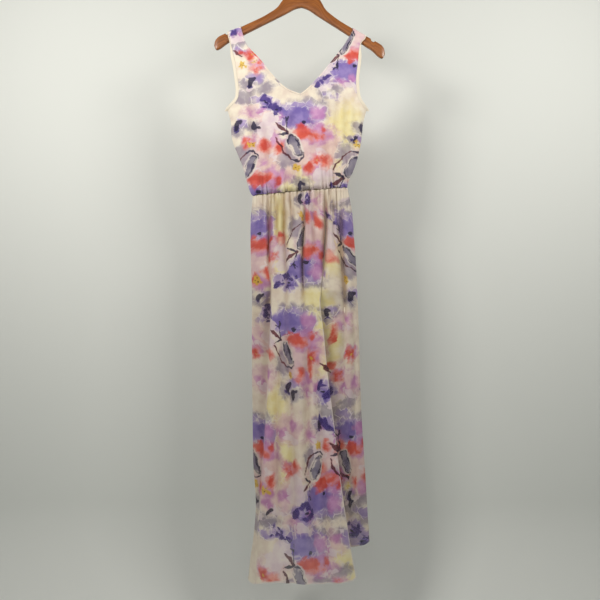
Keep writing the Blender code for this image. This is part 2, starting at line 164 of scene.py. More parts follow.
class Place(NamedTuple):
    """Where a motif lies on the cloth, its size, and whether it is mirrored top to bottom."""

    motif: Motif
    u: float
    v: float
    size: float = 1.0
    flipped: bool = False
    turn: float = 0.0


class Wash(NamedTuple):
    """How one paint looks: its two tones, its edge's softness and tears, its cover and veins."""

    paint: Paint
    tone: str
    deeper: str
    soft: float
    ragged: float
    torn: float
    cover: float
    veined: float = 0.0


class HalfRow(NamedTuple):
    """One row across half of the bodice, from armhole or side seam to neck or centre."""

    outer_x: float
    outer_drop: float
    inner_drop: float
    inner_x: float = CENTRE_X


class Lamp(NamedTuple):
    """A square soft light: where it stands, what it looks at, its width, power and colour."""

    name: str
    place: tuple
    aim: tuple
    size: float
    power: float
    shade: str = "FFFAF4"


class BodyRow(NamedTuple):
    """The bodice's reach at one drop: its half widths and the depth of its front."""

    drop: float
    left: float
    right: float
    depth: float


class SkirtRow(NamedTuple):
    """The skirt's section at one drop: silhouette, depths and where its side seams lie."""

    drop: float
    left: float
    right: float
    front: float
    back: float
    seam_y: float = 0.0


class PanelPlan(NamedTuple):
    """What one skirt panel is cut to: its node, hem, grid, print and flat size."""

    name: str
    node: str
    hem: float
    span: Span
    rows: int
    columns: int
    places: tuple
    flat: tuple


class SlitRow(NamedTuple):
    """The slit's upper edge at one drop, and how much of the under panel it covers."""

    drop: float
    edge_x: float
    overlap: float = 0.0
    under_share: float = 1.0


class Gathering(NamedTuple):
    """A run of small gathers along a drawn-in edge, and the seed of their unevenness."""

    first: float
    last: float
    count: int
    seed: int
    longest: float


class Fold(NamedTuple):
    """A soft trough (depth over zero) or ridge (under zero) that runs down the cloth."""

    x_top: float
    x_bottom: float
    sway: float
    width: float
    depth: float
    start: float
    end: float


def flower_petals(paint: Paint, x: float, y: float, reach: float, petal: float, count: int) -> tuple:
    """Ovals set evenly round a centre, each turned along its own spoke."""
    spokes = [2 * math.pi * index / count + 0.4 for index in range(count)]
    return tuple(
        Blob(paint, x + reach * math.cos(a), y + reach * math.sin(a), petal, petal * 0.72, a)
        for a in spokes
    )


def ovals(paint: Paint, *shapes: tuple) -> tuple:
    """Soft ovals of one paint, each shape the rest of a Blob."""
    return tuple(Blob(paint, *shape) for shape in shapes)


def brushed(paint: Paint, *stops: tuple) -> tuple:
    """Strokes of one paint from stop to stop, each stop an x, a y and a half width."""
    return tuple(
        Stroke(paint, *start[:2], *end[:2], start[2], end[2]) for start, end in zip(stops, stops[1:])
    )


def moved(marks: tuple, x: float, y: float) -> tuple:
    """The same marks set down at another place."""
    return tuple(mark._replace(x=mark.x + x, y=mark.y + y) for mark in marks)


def scattered(motif: Motif, *spots: tuple) -> tuple:
    """One motif set down at several spots, each spot the rest of a Place."""
    return tuple(Place(motif, *spot) for spot in spots)


YELLOW_HEAD = (
    *flower_petals(Paint.YELLOW, 0.0, 0.0, 5.5, 4.6, 5),
    *ovals(Paint.YELLOW, (0.0, 0.0, 5.0, 4.5)),
    *ovals(Paint.DOTS, (-3.5, -1.5, 1.6, 1.4), (2.5, 2.5, 1.5, 1.7), (3.0, -4.5, 1.4, 1.3)),
)


MOTIFS = {
    Motif.BLOOM: (
        *ovals(Paint.GLOW, (84, 22, 44, 70)),
        *ovals(Paint.BLUSH, (22, 34, 74, 66), (-100, 14, 34, 26)),
        *ovals(Paint.GREY, (6, -74, 50, 15), (-44, 60, 26, 30), (-8, 132, 26, 20)),
        *ovals(Paint.LILAC, (-10, -42, 70, 36), (-86, -68, 26, 16)),
        *ovals(
            Paint.PETAL, (-84, -34, 30, 20), (-96, -2, 24, 22), (-62, -12, 14, 12),
            (44, 56, 14, 9, 0.6),
        ),
        *ovals(Paint.VIOLET, (-18, -40, 48, 26), (-50, -46, 18, 15)),
        *ovals(
            Paint.ORCHID, (34, -48, 20, 18), (38, -12, 18, 14), (30, 4, 44, 24), (30, 96, 30, 18),
        ),
        *ovals(
            Paint.SALMON, (14, 8, 34, 12), (14, 88, 13, 16), (52, 74, 13, 17), (-97, 36, 19, 15),
        ),
        *ovals(
            Paint.CORAL, (-2, -2, 26, 13), (22, 6, 16, 6, 0.4), (50, -6, 9, 10),
            (-10, -14, 9, 6, 0.6), (13, 86, 7, 11), (52, 74, 7, 12), (-98, 40, 9, 5, -0.4),
        ),
        *ovals(
            Paint.INK, (0, -26, 7, 4.5), (-22, 33, 29.5, 12, 1.13, 1.8), (-15, 30, 20, 2.4, 1.10),
            (-10, 133, 6, 13, 0.2), (-3, 128, 8, 4, -0.5),
        ),
        *ovals(Paint.MARGIN, (-22, 33, 35, 17, 1.13)),
        *ovals(Paint.BUD, (-22, 33, 28, 10.5, 1.13)),
        *ovals(Paint.MAROON, (-42, 0, 4.5, 4.5)),
        *ovals(
            Paint.DEEP, (-94, -78, 10, 6, 0.7), (-84, -70, 5, 10, 0.4), (-72, -58, 13, 4.5, 0.5),
        ),
        *brushed(Paint.MAROON, (-43, 0, 2.2), (-56, -12, 5.4), (-73, -25, 1.0)),
        *brushed(Paint.INK, (-43, 2, 1.8), (-54, 5, 3.8), (-67, 9, 1.0)),
        *brushed(Paint.INK, (-42, -2, 1.9), (-46, -30, 1.3), (-44, -45, 1.2)),
        *brushed(Paint.INK, (-46, -30, 1.3), (-55, -37, 1.2)),
        *brushed(Paint.INK, (-46, -26, 1.3), (-39, -40, 1.2)),
        *brushed(Paint.MAROON, (-68, 16, 2.0), (-62, 30, 2.8), (-49, 52, 2.5), (-30, 67, 1.6)),
        *brushed(Paint.INK, (-30, 67, 1.6), (-13, 72, 2.3), (-2, 63, 1.9), (-1, 52, 1.3)),
        *moved(YELLOW_HEAD, -16, 88),
    ),
    Motif.FLOWER: (
        *ovals(Paint.ORCHID, (4, -6, 26, 20)),
        *ovals(Paint.YELLOW, (2, 1, 2.6, 2.2)),
        *flower_petals(Paint.SALMON, 0, 0, 11, 12, 5),
        *flower_petals(Paint.CORAL, 0, 0, 8, 8, 4),
    ),
    Motif.DAB: (
        *ovals(Paint.GREY, (-8, 10, 28, 15, 0.5), (18, -2, 22, 13, -0.5)),
        *ovals(Paint.LILAC, (14, -10, 16, 12)),
        *ovals(Paint.INK, (0, 0, 8, 13, 0.25), (8, -6, 9, 6, -0.5)),
        *ovals(Paint.DEEP, (-2, 11, 9, 5, 0.3)),
    ),
    Motif.STROKES: (
        *ovals(Paint.LILAC, (0, 4, 26, 24)),
        *ovals(Paint.VIOLET, (4, 8, 15, 14)),
        *ovals(
            Paint.DEEP, (-8, -10, 5, 10, 0.5), (4, -4, 9, 4, 0.7), (2, 12, 12, 5, -0.3),
            (14, 6, 4, 10, 0.2),
        ),
        *ovals(Paint.INK, (-2, 4, 5, 3, 0.4)),
    ),
    Motif.STREAK: (
        *ovals(Paint.SALMON, (0, 0, 11, 26, 0.1)),
        *ovals(Paint.CORAL, (-2, -4, 6, 17, 0.12), (4, 14, 5, 8, -0.4)),
    ),
    Motif.LEAF: (
        *ovals(Paint.CORAL, (12, -4, 12, 8)),
        *brushed(Paint.MAROON, (-16, -12, 1.0), (0, 0, 5.6), (15, 14, 1.2)),
    ),
    Motif.PINK: (
        *ovals(Paint.BLUSH, (0, 0, 48, 32)),
        *ovals(Paint.ORCHID, (-14, 8, 18, 9, 0.6), (18, -6, 12, 11, -0.4)),
        *ovals(Paint.PETAL, (6, 18, 20, 8, 0.3)),
    ),
    Motif.MIST: (
        *ovals(Paint.GREY, (-24, 6, 30, 17, 0.4), (18, -8, 34, 14, -0.35)),
        *ovals(Paint.LILAC, (10, 16, 20, 9, 0.2)),
        *ovals(Paint.PETAL, (-14, -12, 18, 7, -0.3)),
    ),
    Motif.SUN: ovals(Paint.GLOW, (0, 0, 40, 66)),
    Motif.POLLEN: YELLOW_HEAD,
}
MOTIF_REACH = 190.0

# Where motifs lie on the front of the hanging bodice and skirt, at their drop below the hook
BODICE_PLACES = (
    *scattered(
        Motif.BLOOM, (10, 431), (138, 232, 1.0, True), (-104, 546, 1.0, True),
        (150, 546, 1.0, True, 0.12),
    ),
    *scattered(Motif.MIST, (-166, 148, 0.9), (-158, 205, 0.8), (76, 326, 0.8), (-110, 330, 1.1)),
    *scattered(Motif.STROKES, (-172, 168, 0.5), (-84, 350, 0.8), (-58, 372, 0.7), (84, 566, 0.6)),
    *scattered(
        Motif.PINK, (-150, 176, 0.6), (-104, 512, 0.9), (-70, 400), (-110, 380, 0.8),
        (118, 296, 0.8),
    ),
    *scattered(Motif.FLOWER, (-120, 228, 0.8), (-106, 262, 0.8), (-130, 452, 0.7), (41, 500, 0.7)),
    *scattered(Motif.LEAF, (-158, 226, 0.7)),
    *scattered(Motif.POLLEN, (-146, 258, 1.2), (-114, 250, 0.8)),
    *scattered(Motif.SUN, (120, 440, 1.2), (-62, 520, 0.8)),
    *scattered(Motif.DAB, (-124, 303), (-158, 408), (138, 444, 0.5)),
)

SKIRT_PLACES = (
    *scattered(
        Motif.BLOOM, (-110, 708), (14, 728, 1.0, True), (136, 706), (-16, 944), (-93, 1214),
        (127, 1214), (56, 1284, 1.0, True), (24, 1470),
    ),
    *scattered(
        Motif.PINK, (-58, 724), (24, 604, 0.9), (62, 628, 0.8), (110, 900, 0.9), (-104, 940),
        (26, 1064), (92, 1030, 0.7), (-20, 1310), (-30, 1160, 1.2), (40, 1170, 1.1),
        (-62, 1330, 1.2), (6, 1370, 1.2), (70, 1420), (-84, 1040, 1.2), (120, 1060, 1.2),
    ),
    *scattered(
        Motif.FLOWER, (-72, 742, 0.7), (127, 984), (-112, 980, 0.8), (26, 990, 0.9),
        (96, 1036, 0.8), (-27, 1258, 0.8), (-88, 1500, 0.8), (92, 1512, 0.7),
    ),
    *scattered(
        Motif.SUN, (-52, 650, 0.8), (66, 700, 0.8), (44, 880, 1.1), (-48, 612, 0.5),
        (-56, 1110, 0.9),
    ),
    # The large strokes by the short panel's hem are print, set dense there partly as painted shade
    *scattered(
        Motif.STROKES, (18, 592, 0.7), (-25, 800), (-78, 888, 0.9), (57, 1066, 1.2),
        (-60, 1398, 0.7), (19, 1348, 1.4), (152, 1432, 1.3), (127, 1406, 1.2),
    ),
    # The large mist by the short panel's hem is print too, set dense there partly as painted shade
    *scattered(
        Motif.MIST, (102, 612, 0.9), (106, 1110, 1.3), (-98, 1390, 1.1), (80, 1500),
        (146, 1352, 1.2), (136, 1400, 1.2),
    ),
    *scattered(Motif.STREAK, (40, 652, 0.8), (83, 930)),
    *scattered(Motif.POLLEN, (113, 798, 1.2), (-108, 798, 1.1), (-86, 1309, 1.3)),
    *scattered(
        Motif.DAB, (126, 838), (-104, 840, 0.9), (66, 878, 0.8), (-29, 1062), (46, 1156, 0.6),
        (-75, 1357, 0.7), (122, 1326, 0.8),
    ),
    *scattered(Motif.LEAF, (62, 1014), (114, 1280, 0.8)),
)

# The cloth's own repeat, which the back panels show undisturbed
REPEAT_WIDTH = 326.0
REPEAT_LENGTH = 530.0
REPEAT = (
    *scattered(Motif.BLOOM, (10, 431), (-118, 548, 1.0, True)),
    *scattered(Motif.STROKES, (52, 320)),
    *scattered(Motif.FLOWER, (96, 380), (40, 520, 0.8)),
    *scattered(Motif.MIST, (118, 480)),
    *scattered(Motif.SUN, (92, 590)),
    *scattered(Motif.PINK, (-60, 470)),
)

WASHES = (
    Wash(Paint.GLOW, "EFE7B0", "E8DA94", 1.8, 1.6, 0.3, 0.85),
    Wash(Paint.BLUSH, "E4C4C6", "D2ACBC", 1.1, 1.8, 1.0, 0.72, 0.5),
    Wash(Paint.GREY, "A79FAA", "857D92", 0.8, 1.4, 1.0, 0.80, 0.4),
    Wash(Paint.LILAC, "B7A4CC", "9A88BC", 0.60, 1.1, 1.1, 0.88, 0.7),
    Wash(Paint.VIOLET, "8E7CBC", "6E5EA8", 0.7, 1.2, 0.8, 0.88, 0.4),
    Wash(Paint.ORCHID, "CE96C2", "B878B0", 0.7, 1.2, 0.4, 0.84),
    Wash(Paint.PETAL, "E8DEDB", "DDCCD2", 0.10, 0.6, 1.2, 0.84),
    Wash(Paint.SALMON, "EA9E90", "DC8274", 0.6, 1.0, 0.6, 0.84),
    Wash(Paint.CORAL, "DF5F48", "C84434", 0.45, 0.8, 0.6, 0.90),
    Wash(Paint.MARGIN, "E6DDD2", "D0C6C6", 0.16, 0.2, 0.2, 0.90),
    Wash(Paint.BUD, "8E8898", "625C7A", 0.18, 0.4, 0.5, 0.92),
    Wash(Paint.MAROON, "743440", "4C2430", 0.10, 0.15, 0.10, 0.94),
    Wash(Paint.DEEP, "54418E", "392C70", 0.15, 0.5, 0.7, 0.92),
    Wash(Paint.INK, "332E4E", "221E3A", 0.10, 0.15, 0.10, 0.93),
    Wash(Paint.YELLOW, "E4C552", "D2A83C", 0.18, 0.4, 0.4, 0.92),
    Wash(Paint.DOTS, "6B3D1E", "4E2A18", 0.08, 0.1, 0.0, 0.90),
)


def linear(shade: str) -> tuple[float, float, float, float]:
    """An sRGB hex colour as a linear one with full cover."""
    parts = [int(shade[start : start + 2], 16) / 255.0 for start in (0, 2, 4)]
    spread = [c / 12.92 if c <= 0.04045 else ((c + 0.055) / 1.055) ** 2.4 for c in parts]
    return (*spread, 1.0)


def smooth_step(low: float, high: float, value: Grid) -> Grid:
    """0 below low, 1 above high, and an S curve between them."""
    share = np.clip((value - low) / (high - low), 0.0, 1.0)
    return share * share * (3.0 - 2.0 * share)


def smooth_read(places: Grid, values: Grid, at: Grid) -> Grid:
    """Values read between their places on a cubic whose slopes are the neighbours' mean.

    Args:
        places: Rising places of the known values.
        values: The known values.
        at: Where to read.

    Returns:
        The values at those places, held level past both ends.
    """
    slopes = np.gradient(values, places)
    where = np.clip(at, places[0], places[-1])
    cell = np.clip(np.searchsorted(places, where, side="right") - 1, 0, len(places) - 2)
    width = places[cell + 1] - places[cell]
    t = (where - places[cell]) / width
    start, end = values[cell], values[cell + 1]
    bend_in = width * slopes[cell] * t * (1 - t) ** 2
    bend_out = width * slopes[cell + 1] * (t**3 - t**2)
    return start * (1 + 2 * t) * (1 - t) ** 2 + end * t * t * (3 - 2 * t) + bend_in + bend_out


def column(table: tuple, name: str) -> Grid:
    """One named column of a table."""
    return np.array([getattr(row, name) for row in table], dtype=float)


def read(table: tuple, name: str, drop: Grid) -> Grid:
    """A table's column at any drop, on a smooth curve through its rows."""
    return smooth_read(column(table, "drop"), column(table, name), drop)


def dome(x: Grid, left: Grid, right: Grid) -> Grid:
    """A section's share of its full depth: 1 in the middle, 0 at both silhouettes."""
    middle = (left + right) / 2
    share = np.clip(np.abs(x - middle) / ((right - left) / 2), 0.0, 1.0)
    return np.sqrt(1.0 - share**DOME_POWER)


def ripple(u: Grid, v: Grid, length: float, phase: float) -> Grid:
    """A wandering field between -1 and 1, the mean of three crossed waves of about one length."""
    turn = 2 * math.pi / length
    first = np.sin(turn * (u + 0.35 * v) + phase)
    second = np.sin(turn * 0.83 * (v - 0.45 * u) + 2.1 * phase + 1.3)
    third = np.sin(turn * 1.31 * (0.8 * u + 0.7 * v) - 1.7 * phase + 0.6 * first)
    return (first + second + third) / 3.0


def fold_field(folds: tuple, x: Grid, drop: Grid) -> tuple[Grid, Grid]:
    """The folds' push inwards, and the cloth that they take up.

    A fold is a bell curve across, faded at both ends. It hides cloth in its middle, so the cloth's
    own coordinate makes a soft step there, half to each side.

    Args:
        folds: The table of folds.
        x: Place across.
        drop: Place down.

    Returns:
        Depth and hidden width at each point, both in metres.
    """
    depth, hidden = np.zeros_like(x), np.zeros_like(x)
    for fold in folds:
        length = fold.end - fold.start
        run = (drop - fold.start) / length
        centre = fold.x_top + (fold.x_bottom - fold.x_top) * run
        centre = centre + fold.sway * np.sin(2.6 * math.pi * run + 90.0 * fold.x_top)
        fade = smooth_step(fold.start, fold.start + length / 6, drop)
        fade = fade * (1.0 - smooth_step(fold.end - length / 2, fold.end, drop))
        apart = (x - centre) / fold.width
        depth += fold.depth * fade * np.exp(-(apart**2))
        hidden += abs(fold.depth) * FOLD_TAKE_UP * fade * np.tanh(apart * 1.6) / 2
    return depth, hidden


def gathers(x: Grid, reach: Grid, run: Gathering) -> tuple[Grid, Grid]:
    """The many small gathers of a drawn-in edge, as uneven bell-curve troughs.

    Args:
        x: Place across the cloth.
        reach: Distance from the gathered edge.
        run: The edge's two ends, and the number, seed and greatest length of its gathers.

    Returns:
        Depth and hidden width at each point, both in metres.
    """
    chance = np.random.default_rng(run.seed)
    step = (run.last - run.first) / run.count
    depths, hidden = np.zeros_like(x), np.zeros_like(x)
    for index in range(run.count):
        centre = run.first + step * (index + chance.uniform(0.1, 0.9))
        width = chance.uniform(*GATHER_WIDTHS)
        depth = chance.uniform(*GATHER_DEPTHS)
        length = run.longest * chance.uniform(0.25, 1.0) ** 1.5
        lean = chance.uniform(-GATHER_LEAN, GATHER_LEAN)
        spread = width * (1.0 + 1.2 * np.clip(reach / length, 0.0, 1.0))
        fade = 1.0 - smooth_step(0.0, length, reach)
        apart = (x - centre - lean * reach) / spread
        depths += depth * fade * np.exp(-(apart**2))
        hidden += depth * GATHER_TAKE_UP * fade * np.tanh(apart * 1.6) / 2
    return depths, hidden


class FloralPrint:
    """The watercolour print: every mark is the distance to a soft shape, kept per paint.

    A paint's field is how far inside its nearest mark a point lies, in centimetres, so that the
    shader can feather each edge. The cloth coordinates are first swayed a little, as wet paint is.
    """

    sway = ((34.0, 3.2), (11.0, 1.3))
    limit = 3.0

    def paint(self, cloth: Grid, places: tuple) -> dict[Paint, Grid]:
        """All paints' fields at the cloth coordinates for the motifs set down there.

        Args:
            cloth: Points by two, in millimetres.
            places: The motifs and their places.

        Returns:
            One array per paint.
        """
        u, v = cloth[:, 0].copy(), cloth[:, 1].copy()
        for length, amount in self.sway:
            u, v = (
                u + amount * ripple(cloth[:, 0], cloth[:, 1], length, 0.4 + length),
                v + amount * ripple(cloth[:, 1], cloth[:, 0], length, 2.9 + length),
            )
        fields = {paint: np.full(len(u), -self.limit) for paint in Paint}
        for place in places:
            near = np.hypot(u - place.u, v - place.v) < MOTIF_REACH * place.size
            if near.any():
                self._set_down(fields, place, u[near] - place.u, v[near] - place.v, near)
        return fields

    def _set_down(self, fields: dict, place: Place, du: Grid, dv: Grid, near: Grid) -> None:
        """Adds one motif's marks to the fields of the points near it."""
        turn_cos, turn_sin = math.cos(place.turn), math.sin(place.turn)
        x = (du * turn_cos + dv * turn_sin) / place.size
        y = (dv * turn_cos - du * turn_sin) / place.size
        if place.flipped:
            y = -y
        for mark in MOTIFS[place.motif]:
            inside = self._oval(mark, x, y) if isinstance(mark, Blob) else self._line(mark, x, y)
            value = np.clip(inside * place.size / 10.0, -self.limit, self.limit)
            fields[mark.paint][near] = np.maximum(fields[mark.paint][near], value)

    @staticmethod
    def _oval(mark: Blob, x: Grid, y: Grid) -> Grid:
        """Distance inside an oval, taken as its smaller half width times (1 - scaled radius)."""
        along = (x - mark.x) * math.cos(mark.turn) + (y - mark.y) * math.sin(mark.turn)
        across = (y - mark.y) * math.cos(mark.turn) - (x - mark.x) * math.sin(mark.turn)
        scaled = np.hypot(along / mark.half_width, across / mark.half_height)
        inside = (1.0 - scaled) * min(mark.half_width, mark.half_height)
        return mark.rim / 2 - np.abs(inside) if mark.rim else inside

    @staticmethod
    def _line(mark: Stroke, x: Grid, y: Grid) -> Grid:
        """Distance inside a straight stroke, its half width less the distance to its middle line."""
        run_x, run_y = mark.x_end - mark.x_start, mark.y_end - mark.y_start
        share = ((x - mark.x_start) * run_x + (y - mark.y_start) * run_y) / (run_x**2 + run_y**2)
        share = np.clip(share, 0.0, 1.0)
        apart = np.hypot(x - mark.x_start - share * run_x, y - mark.y_start - share * run_y)
        return mark.half_start + (mark.half_end - mark.half_start) * share - apart

    def repeated(self, v_first: float, v_last: float) -> tuple:
        """The cloth's half-drop repeat over a stretch, every second column half a repeat lower."""
        places = []
        for across in range(-2, 3):
            for down in range(-2, 4):
                lower = REPEAT_LENGTH / 2 if across % 2 else 0.0
                for place in REPEAT:
                    v = place.v + down * REPEAT_LENGTH + lower
                    if v_first - MOTIF_REACH < v < v_last + MOTIF_REACH:
                        places.append(place._replace(u=place.u + across * REPEAT_WIDTH / 2, v=v))
        return tuple(places)


def add_node(tree: Tree, kind: str, inputs: dict, **settings: object) -> bpy.types.Node:
    """Adds a node, sets its properties, and fills its inputs with values or links.

    Args:
        tree: The node tree.
        kind: The node's type, less the words ShaderNode.
        inputs: Input name or number to a value or to another node's output.
        settings: The node's own properties.

    Returns:
        The new node.
    """
    node = tree.nodes.new(f"ShaderNode{kind}")
    for name, value in settings.items():
        setattr(node, name, value)
    for name, value in inputs.items():
        if isinstance(value, Socket):
            tree.links.new(value, node.inputs[name])
        else:
            node.inputs[name].default_value = value
    return node


def principled(name: str, base: tuple, roughness: float, **constants: float) -> tuple:
    """A new material with its Principled shader set; returns the material, its tree and shader."""
    material = bpy.data.materials.new(name)
    material.use_nodes = True
    tree = material.node_tree
    shader = tree.nodes["Principled BSDF"]
    shader.inputs["Base Color"].default_value = base
    shader.inputs["Roughness"].default_value = roughness
    for key, value in constants.items():
        shader.inputs[key.replace("_", " ")].default_value = value
    return material, tree, shader


MIX_FACTOR, MIX_FIRST, MIX_SECOND, MIX_RESULT = 0, 6, 7, 2


@dataclass(frozen=True)
class PrintedChiffon:
    """Printed polyester chiffon: a plain weave of crisp twisted yarn, printed on one side.

    The twist gives a fine pebbled surface with no shine, the open weave lets light and whatever
    lies behind show through, and the wet-on-wet print has feathered washes under crisp strokes.
    """

    name: str
    alpha: float
    ground: str = "ECE3D0"
    ground_shade: str = "DFD0C0"
    painted_shade_tone: str = "C6B6A8"  # painted shade for pleats' troughs and the slit's shadow
    bare: str = "F2ECE6"  # thin dry lines that the wet washes leave between their torn edges
    wash_grain: float = 0.024
    wash_sway: float = 0.012
    shard_size: float = 0.017
    shard_step: float = 0.9
    vein_widths: tuple = (0.10, 0.02)
    vein_strength: float = 5.0
    edge_grain: float = 0.0032
    edge_share: float = 0.30
    crepe_grain: float = 0.0016  # real yarns are 0.2 mm apart, drawn coarser so that they show
    crepe_lift: float = 0.0005

    def build(self) -> Material:
        """The material, with one feathered layer per paint over the cream ground."""
        material, tree, shader = principled(
            self.name, linear(self.ground), 0.78, Sheen_Weight=0.12, Sheen_Roughness=0.5
        )
        shader.inputs["Specular IOR Level"].default_value = 0.25
        shader.inputs["Alpha"].default_value = self.alpha
        cloth = add_node(tree, "UVMap", {}, uv_map="cloth").outputs["UV"]
        grains = []
        for grain in (self.wash_grain, self.edge_grain, self.crepe_grain):
            laid = {"Vector": cloth, "Scale": 1.0 / grain, "Detail": 2.0}
            grains.append(add_node(tree, "TexNoise", laid))
        wash, edge, crepe = grains
        fine = {0: edge.outputs["Fac"], 1: self.edge_share, 2: wash.outputs["Fac"]}
        both = add_node(tree, "Math", fine, operation="MULTIPLY_ADD")
        # Both noises have a mean of a half, so this centres twice their sum on zero.
        centred = {0: both.outputs[0], 1: 2.0, 2: -(1.0 + self.edge_share)}
        wander = add_node(tree, "Math", centred, operation="MULTIPLY_ADD").outputs[0]
        shard, vein = self._shards(tree, cloth, wash.outputs["Color"])
        colour = self._tone(tree, wash.outputs["Fac"], self.ground, self.ground_shade)
        for layer in WASHES:
            cover = self._cover(tree, layer, wander, shard)
            tone = self._tone(tree, wash.outputs["Fac"], layer.tone, layer.deeper)
            mix = {MIX_FACTOR: cover, MIX_FIRST: colour, MIX_SECOND: tone}
            colour = add_node(tree, "Mix", mix, data_type="RGBA").outputs[MIX_RESULT]
            if layer.veined:
                shown = self._bare_lines(tree, layer, cover, vein)
                mix = {MIX_FACTOR: shown, MIX_FIRST: colour, MIX_SECOND: linear(self.bare)}
                colour = add_node(tree, "Mix", mix, data_type="RGBA").outputs[MIX_RESULT]
        # Painted shade in the pleats' troughs, where the cloth also lies in layers, and beside the
        # slit
        painted_shade = add_node(tree, "Attribute", {}, attribute_name=PAINTED_SHADE_ATTRIBUTE).outputs["Fac"]
        mix = {MIX_FACTOR: painted_shade, MIX_FIRST: colour, MIX_SECOND: linear(self.painted_shade_tone)}
        mix = add_node(tree, "Mix", mix, data_type="RGBA", blend_type="MULTIPLY")
        tree.links.new(mix.outputs[MIX_RESULT], shader.inputs["Base Color"])
        raised = {"Height": crepe.outputs["Fac"], "Strength": 0.35, "Distance": self.crepe_lift}
        bump = add_node(tree, "Bump", raised)
        tree.links.new(bump.outputs["Normal"], shader.inputs["Normal"])
        return material

    def _shards(self, tree: Tree, cloth: Socket, wash: Socket) -> tuple[Socket, Socket]:
        """The washes' torn scraps: a step that differs from scrap to scrap, and the lines between.

        Args:
            tree: The node tree.
            cloth: The cloth coordinates.
            wash: The noise that sways the scraps' outlines.

        Returns:
            Each scrap's own step, and 1 on the lines between scraps.
        """
        sway = {0: wash, 1: (self.wash_sway, self.wash_sway, 0.0), 2: cloth}
        swayed = add_node(tree, "VectorMath", sway, operation="MULTIPLY_ADD").outputs[0]
        cells = {"Vector": swayed, "Scale": 1.0 / self.shard_size}
        shards = add_node(tree, "TexVoronoi", cells)
        split = add_node(tree, "SeparateColor", {"Color": shards.outputs["Color"]})
        centred = {0: split.outputs["Red"], 1: self.shard_step, 2: -self.shard_step / 2}
        shard = add_node(tree, "Math", centred, operation="MULTIPLY_ADD").outputs[0]
        seams = add_node(tree, "TexVoronoi", cells, feature="DISTANCE_TO_EDGE")
        widest, full = self.vein_widths
        line = {"Value": seams.outputs["Distance"], "From Min": widest, "From Max": full}
        vein = add_node(tree, "MapRange", line, interpolation_type="SMOOTHSTEP")
        return shard, vein.outputs[0]

    @staticmethod
    def _cover(tree: Tree, layer: Wash, wander: Socket, shard: Socket) -> Socket:
        """How far a paint covers: its field, ragged by noise and torn by scrap, then feathered."""
        field = add_node(tree, "Attribute", {}, attribute_name=layer.paint.value)
        ragged = {0: wander, 1: layer.ragged, 2: field.outputs["Fac"]}
        ragged = add_node(tree, "Math", ragged, operation="MULTIPLY_ADD")
        torn = {0: shard, 1: layer.torn, 2: ragged.outputs[0]}
        torn = add_node(tree, "Math", torn, operation="MULTIPLY_ADD").outputs[0]
        soft = layer.soft
        limits = {"Value": torn, "From Min": -soft, "From Max": soft, "To Max": layer.cover}
        cover = add_node(tree, "MapRange", limits, interpolation_type="SMOOTHSTEP")
        return cover.outputs[0]

    def _bare_lines(self, tree: Tree, layer: Wash, cover: Socket, vein: Socket) -> Socket:
        """Where dry lines show: along the scraps' seams, where the wash is about half covering."""
        left_bare = {0: layer.cover, 1: cover}
        left_bare = add_node(tree, "Math", left_bare, operation="SUBTRACT").outputs[0]
        rim = add_node(tree, "Math", {0: cover, 1: left_bare}, operation="MULTIPLY")
        rim = {0: rim.outputs[0], 1: self.vein_strength * layer.veined}
        rim = add_node(tree, "Math", rim, operation="MULTIPLY", use_clamp=True)
        shown = {0: rim.outputs[0], 1: vein}
        return add_node(tree, "Math", shown, operation="MULTIPLY").outputs[0]

    @staticmethod
    def _tone(tree: Tree, field: Socket, light: str, deep: str) -> Socket:
        """A colour that wanders between two tones with a noise field."""
        limits = {"Value": field, "From Min": 0.35, "From Max": 0.65}
        share = add_node(tree, "MapRange", limits)
        mix = {MIX_FACTOR: share.outputs[0], MIX_FIRST: linear(light), MIX_SECOND: linear(deep)}
        return add_node(tree, "Mix", mix, data_type="RGBA").outputs[MIX_RESULT]


@dataclass(frozen=True)
class CreamLining:
    """Woven polyester lining: a close, smooth weave with a faint dull lustre and soft slubs."""

    name: str = "woven_polyester_lining"
    shade: str = "E9E1CF"
    slub: str = "DDD3BD"
    slub_grain: float = 0.004
    yarn: float = 0.0012  # real yarns are 0.15 mm apart, drawn coarser so that they show
    yarn_lift: float = 0.0004
    stretch: float = 6.0

    def build(self) -> Material:
        """The material: slubs are noise stretched along the weft, yarns are a fine bump."""
        material, tree, shader = principled(
            self.name, linear(self.shade), 0.62, Sheen_Weight=0.1, Sheen_Roughness=0.4
        )
        cloth = add_node(tree, "UVMap", {}, uv_map="cloth").outputs["UV"]
        along = {"Vector": cloth, "Scale": (1.0, self.stretch, 1.0)}
        laid = add_node(tree, "Mapping", along).outputs["Vector"]
        scale = 1.0 / self.slub_grain
        slubs = add_node(tree, "TexNoise", {"Vector": laid, "Scale": scale, "Detail": 3.0})
        plain, slub = linear(self.shade), linear(self.slub)
        tones = {MIX_FACTOR: slubs.outputs["Fac"], MIX_FIRST: plain, MIX_SECOND: slub}
        mix = add_node(tree, "Mix", tones, data_type="RGBA")
        tree.links.new(mix.outputs[MIX_RESULT], shader.inputs["Base Color"])
        scale = 1.0 / self.yarn
        yarns = add_node(tree, "TexNoise", {"Vector": laid, "Scale": scale, "Detail": 1.0})
        lift = {"Height": yarns.outputs["Fac"], "Strength": 0.25, "Distance": self.yarn_lift}
        bump = add_node(tree, "Bump", lift)
        tree.links.new(bump.outputs["Normal"], shader.inputs["Normal"])
        return material


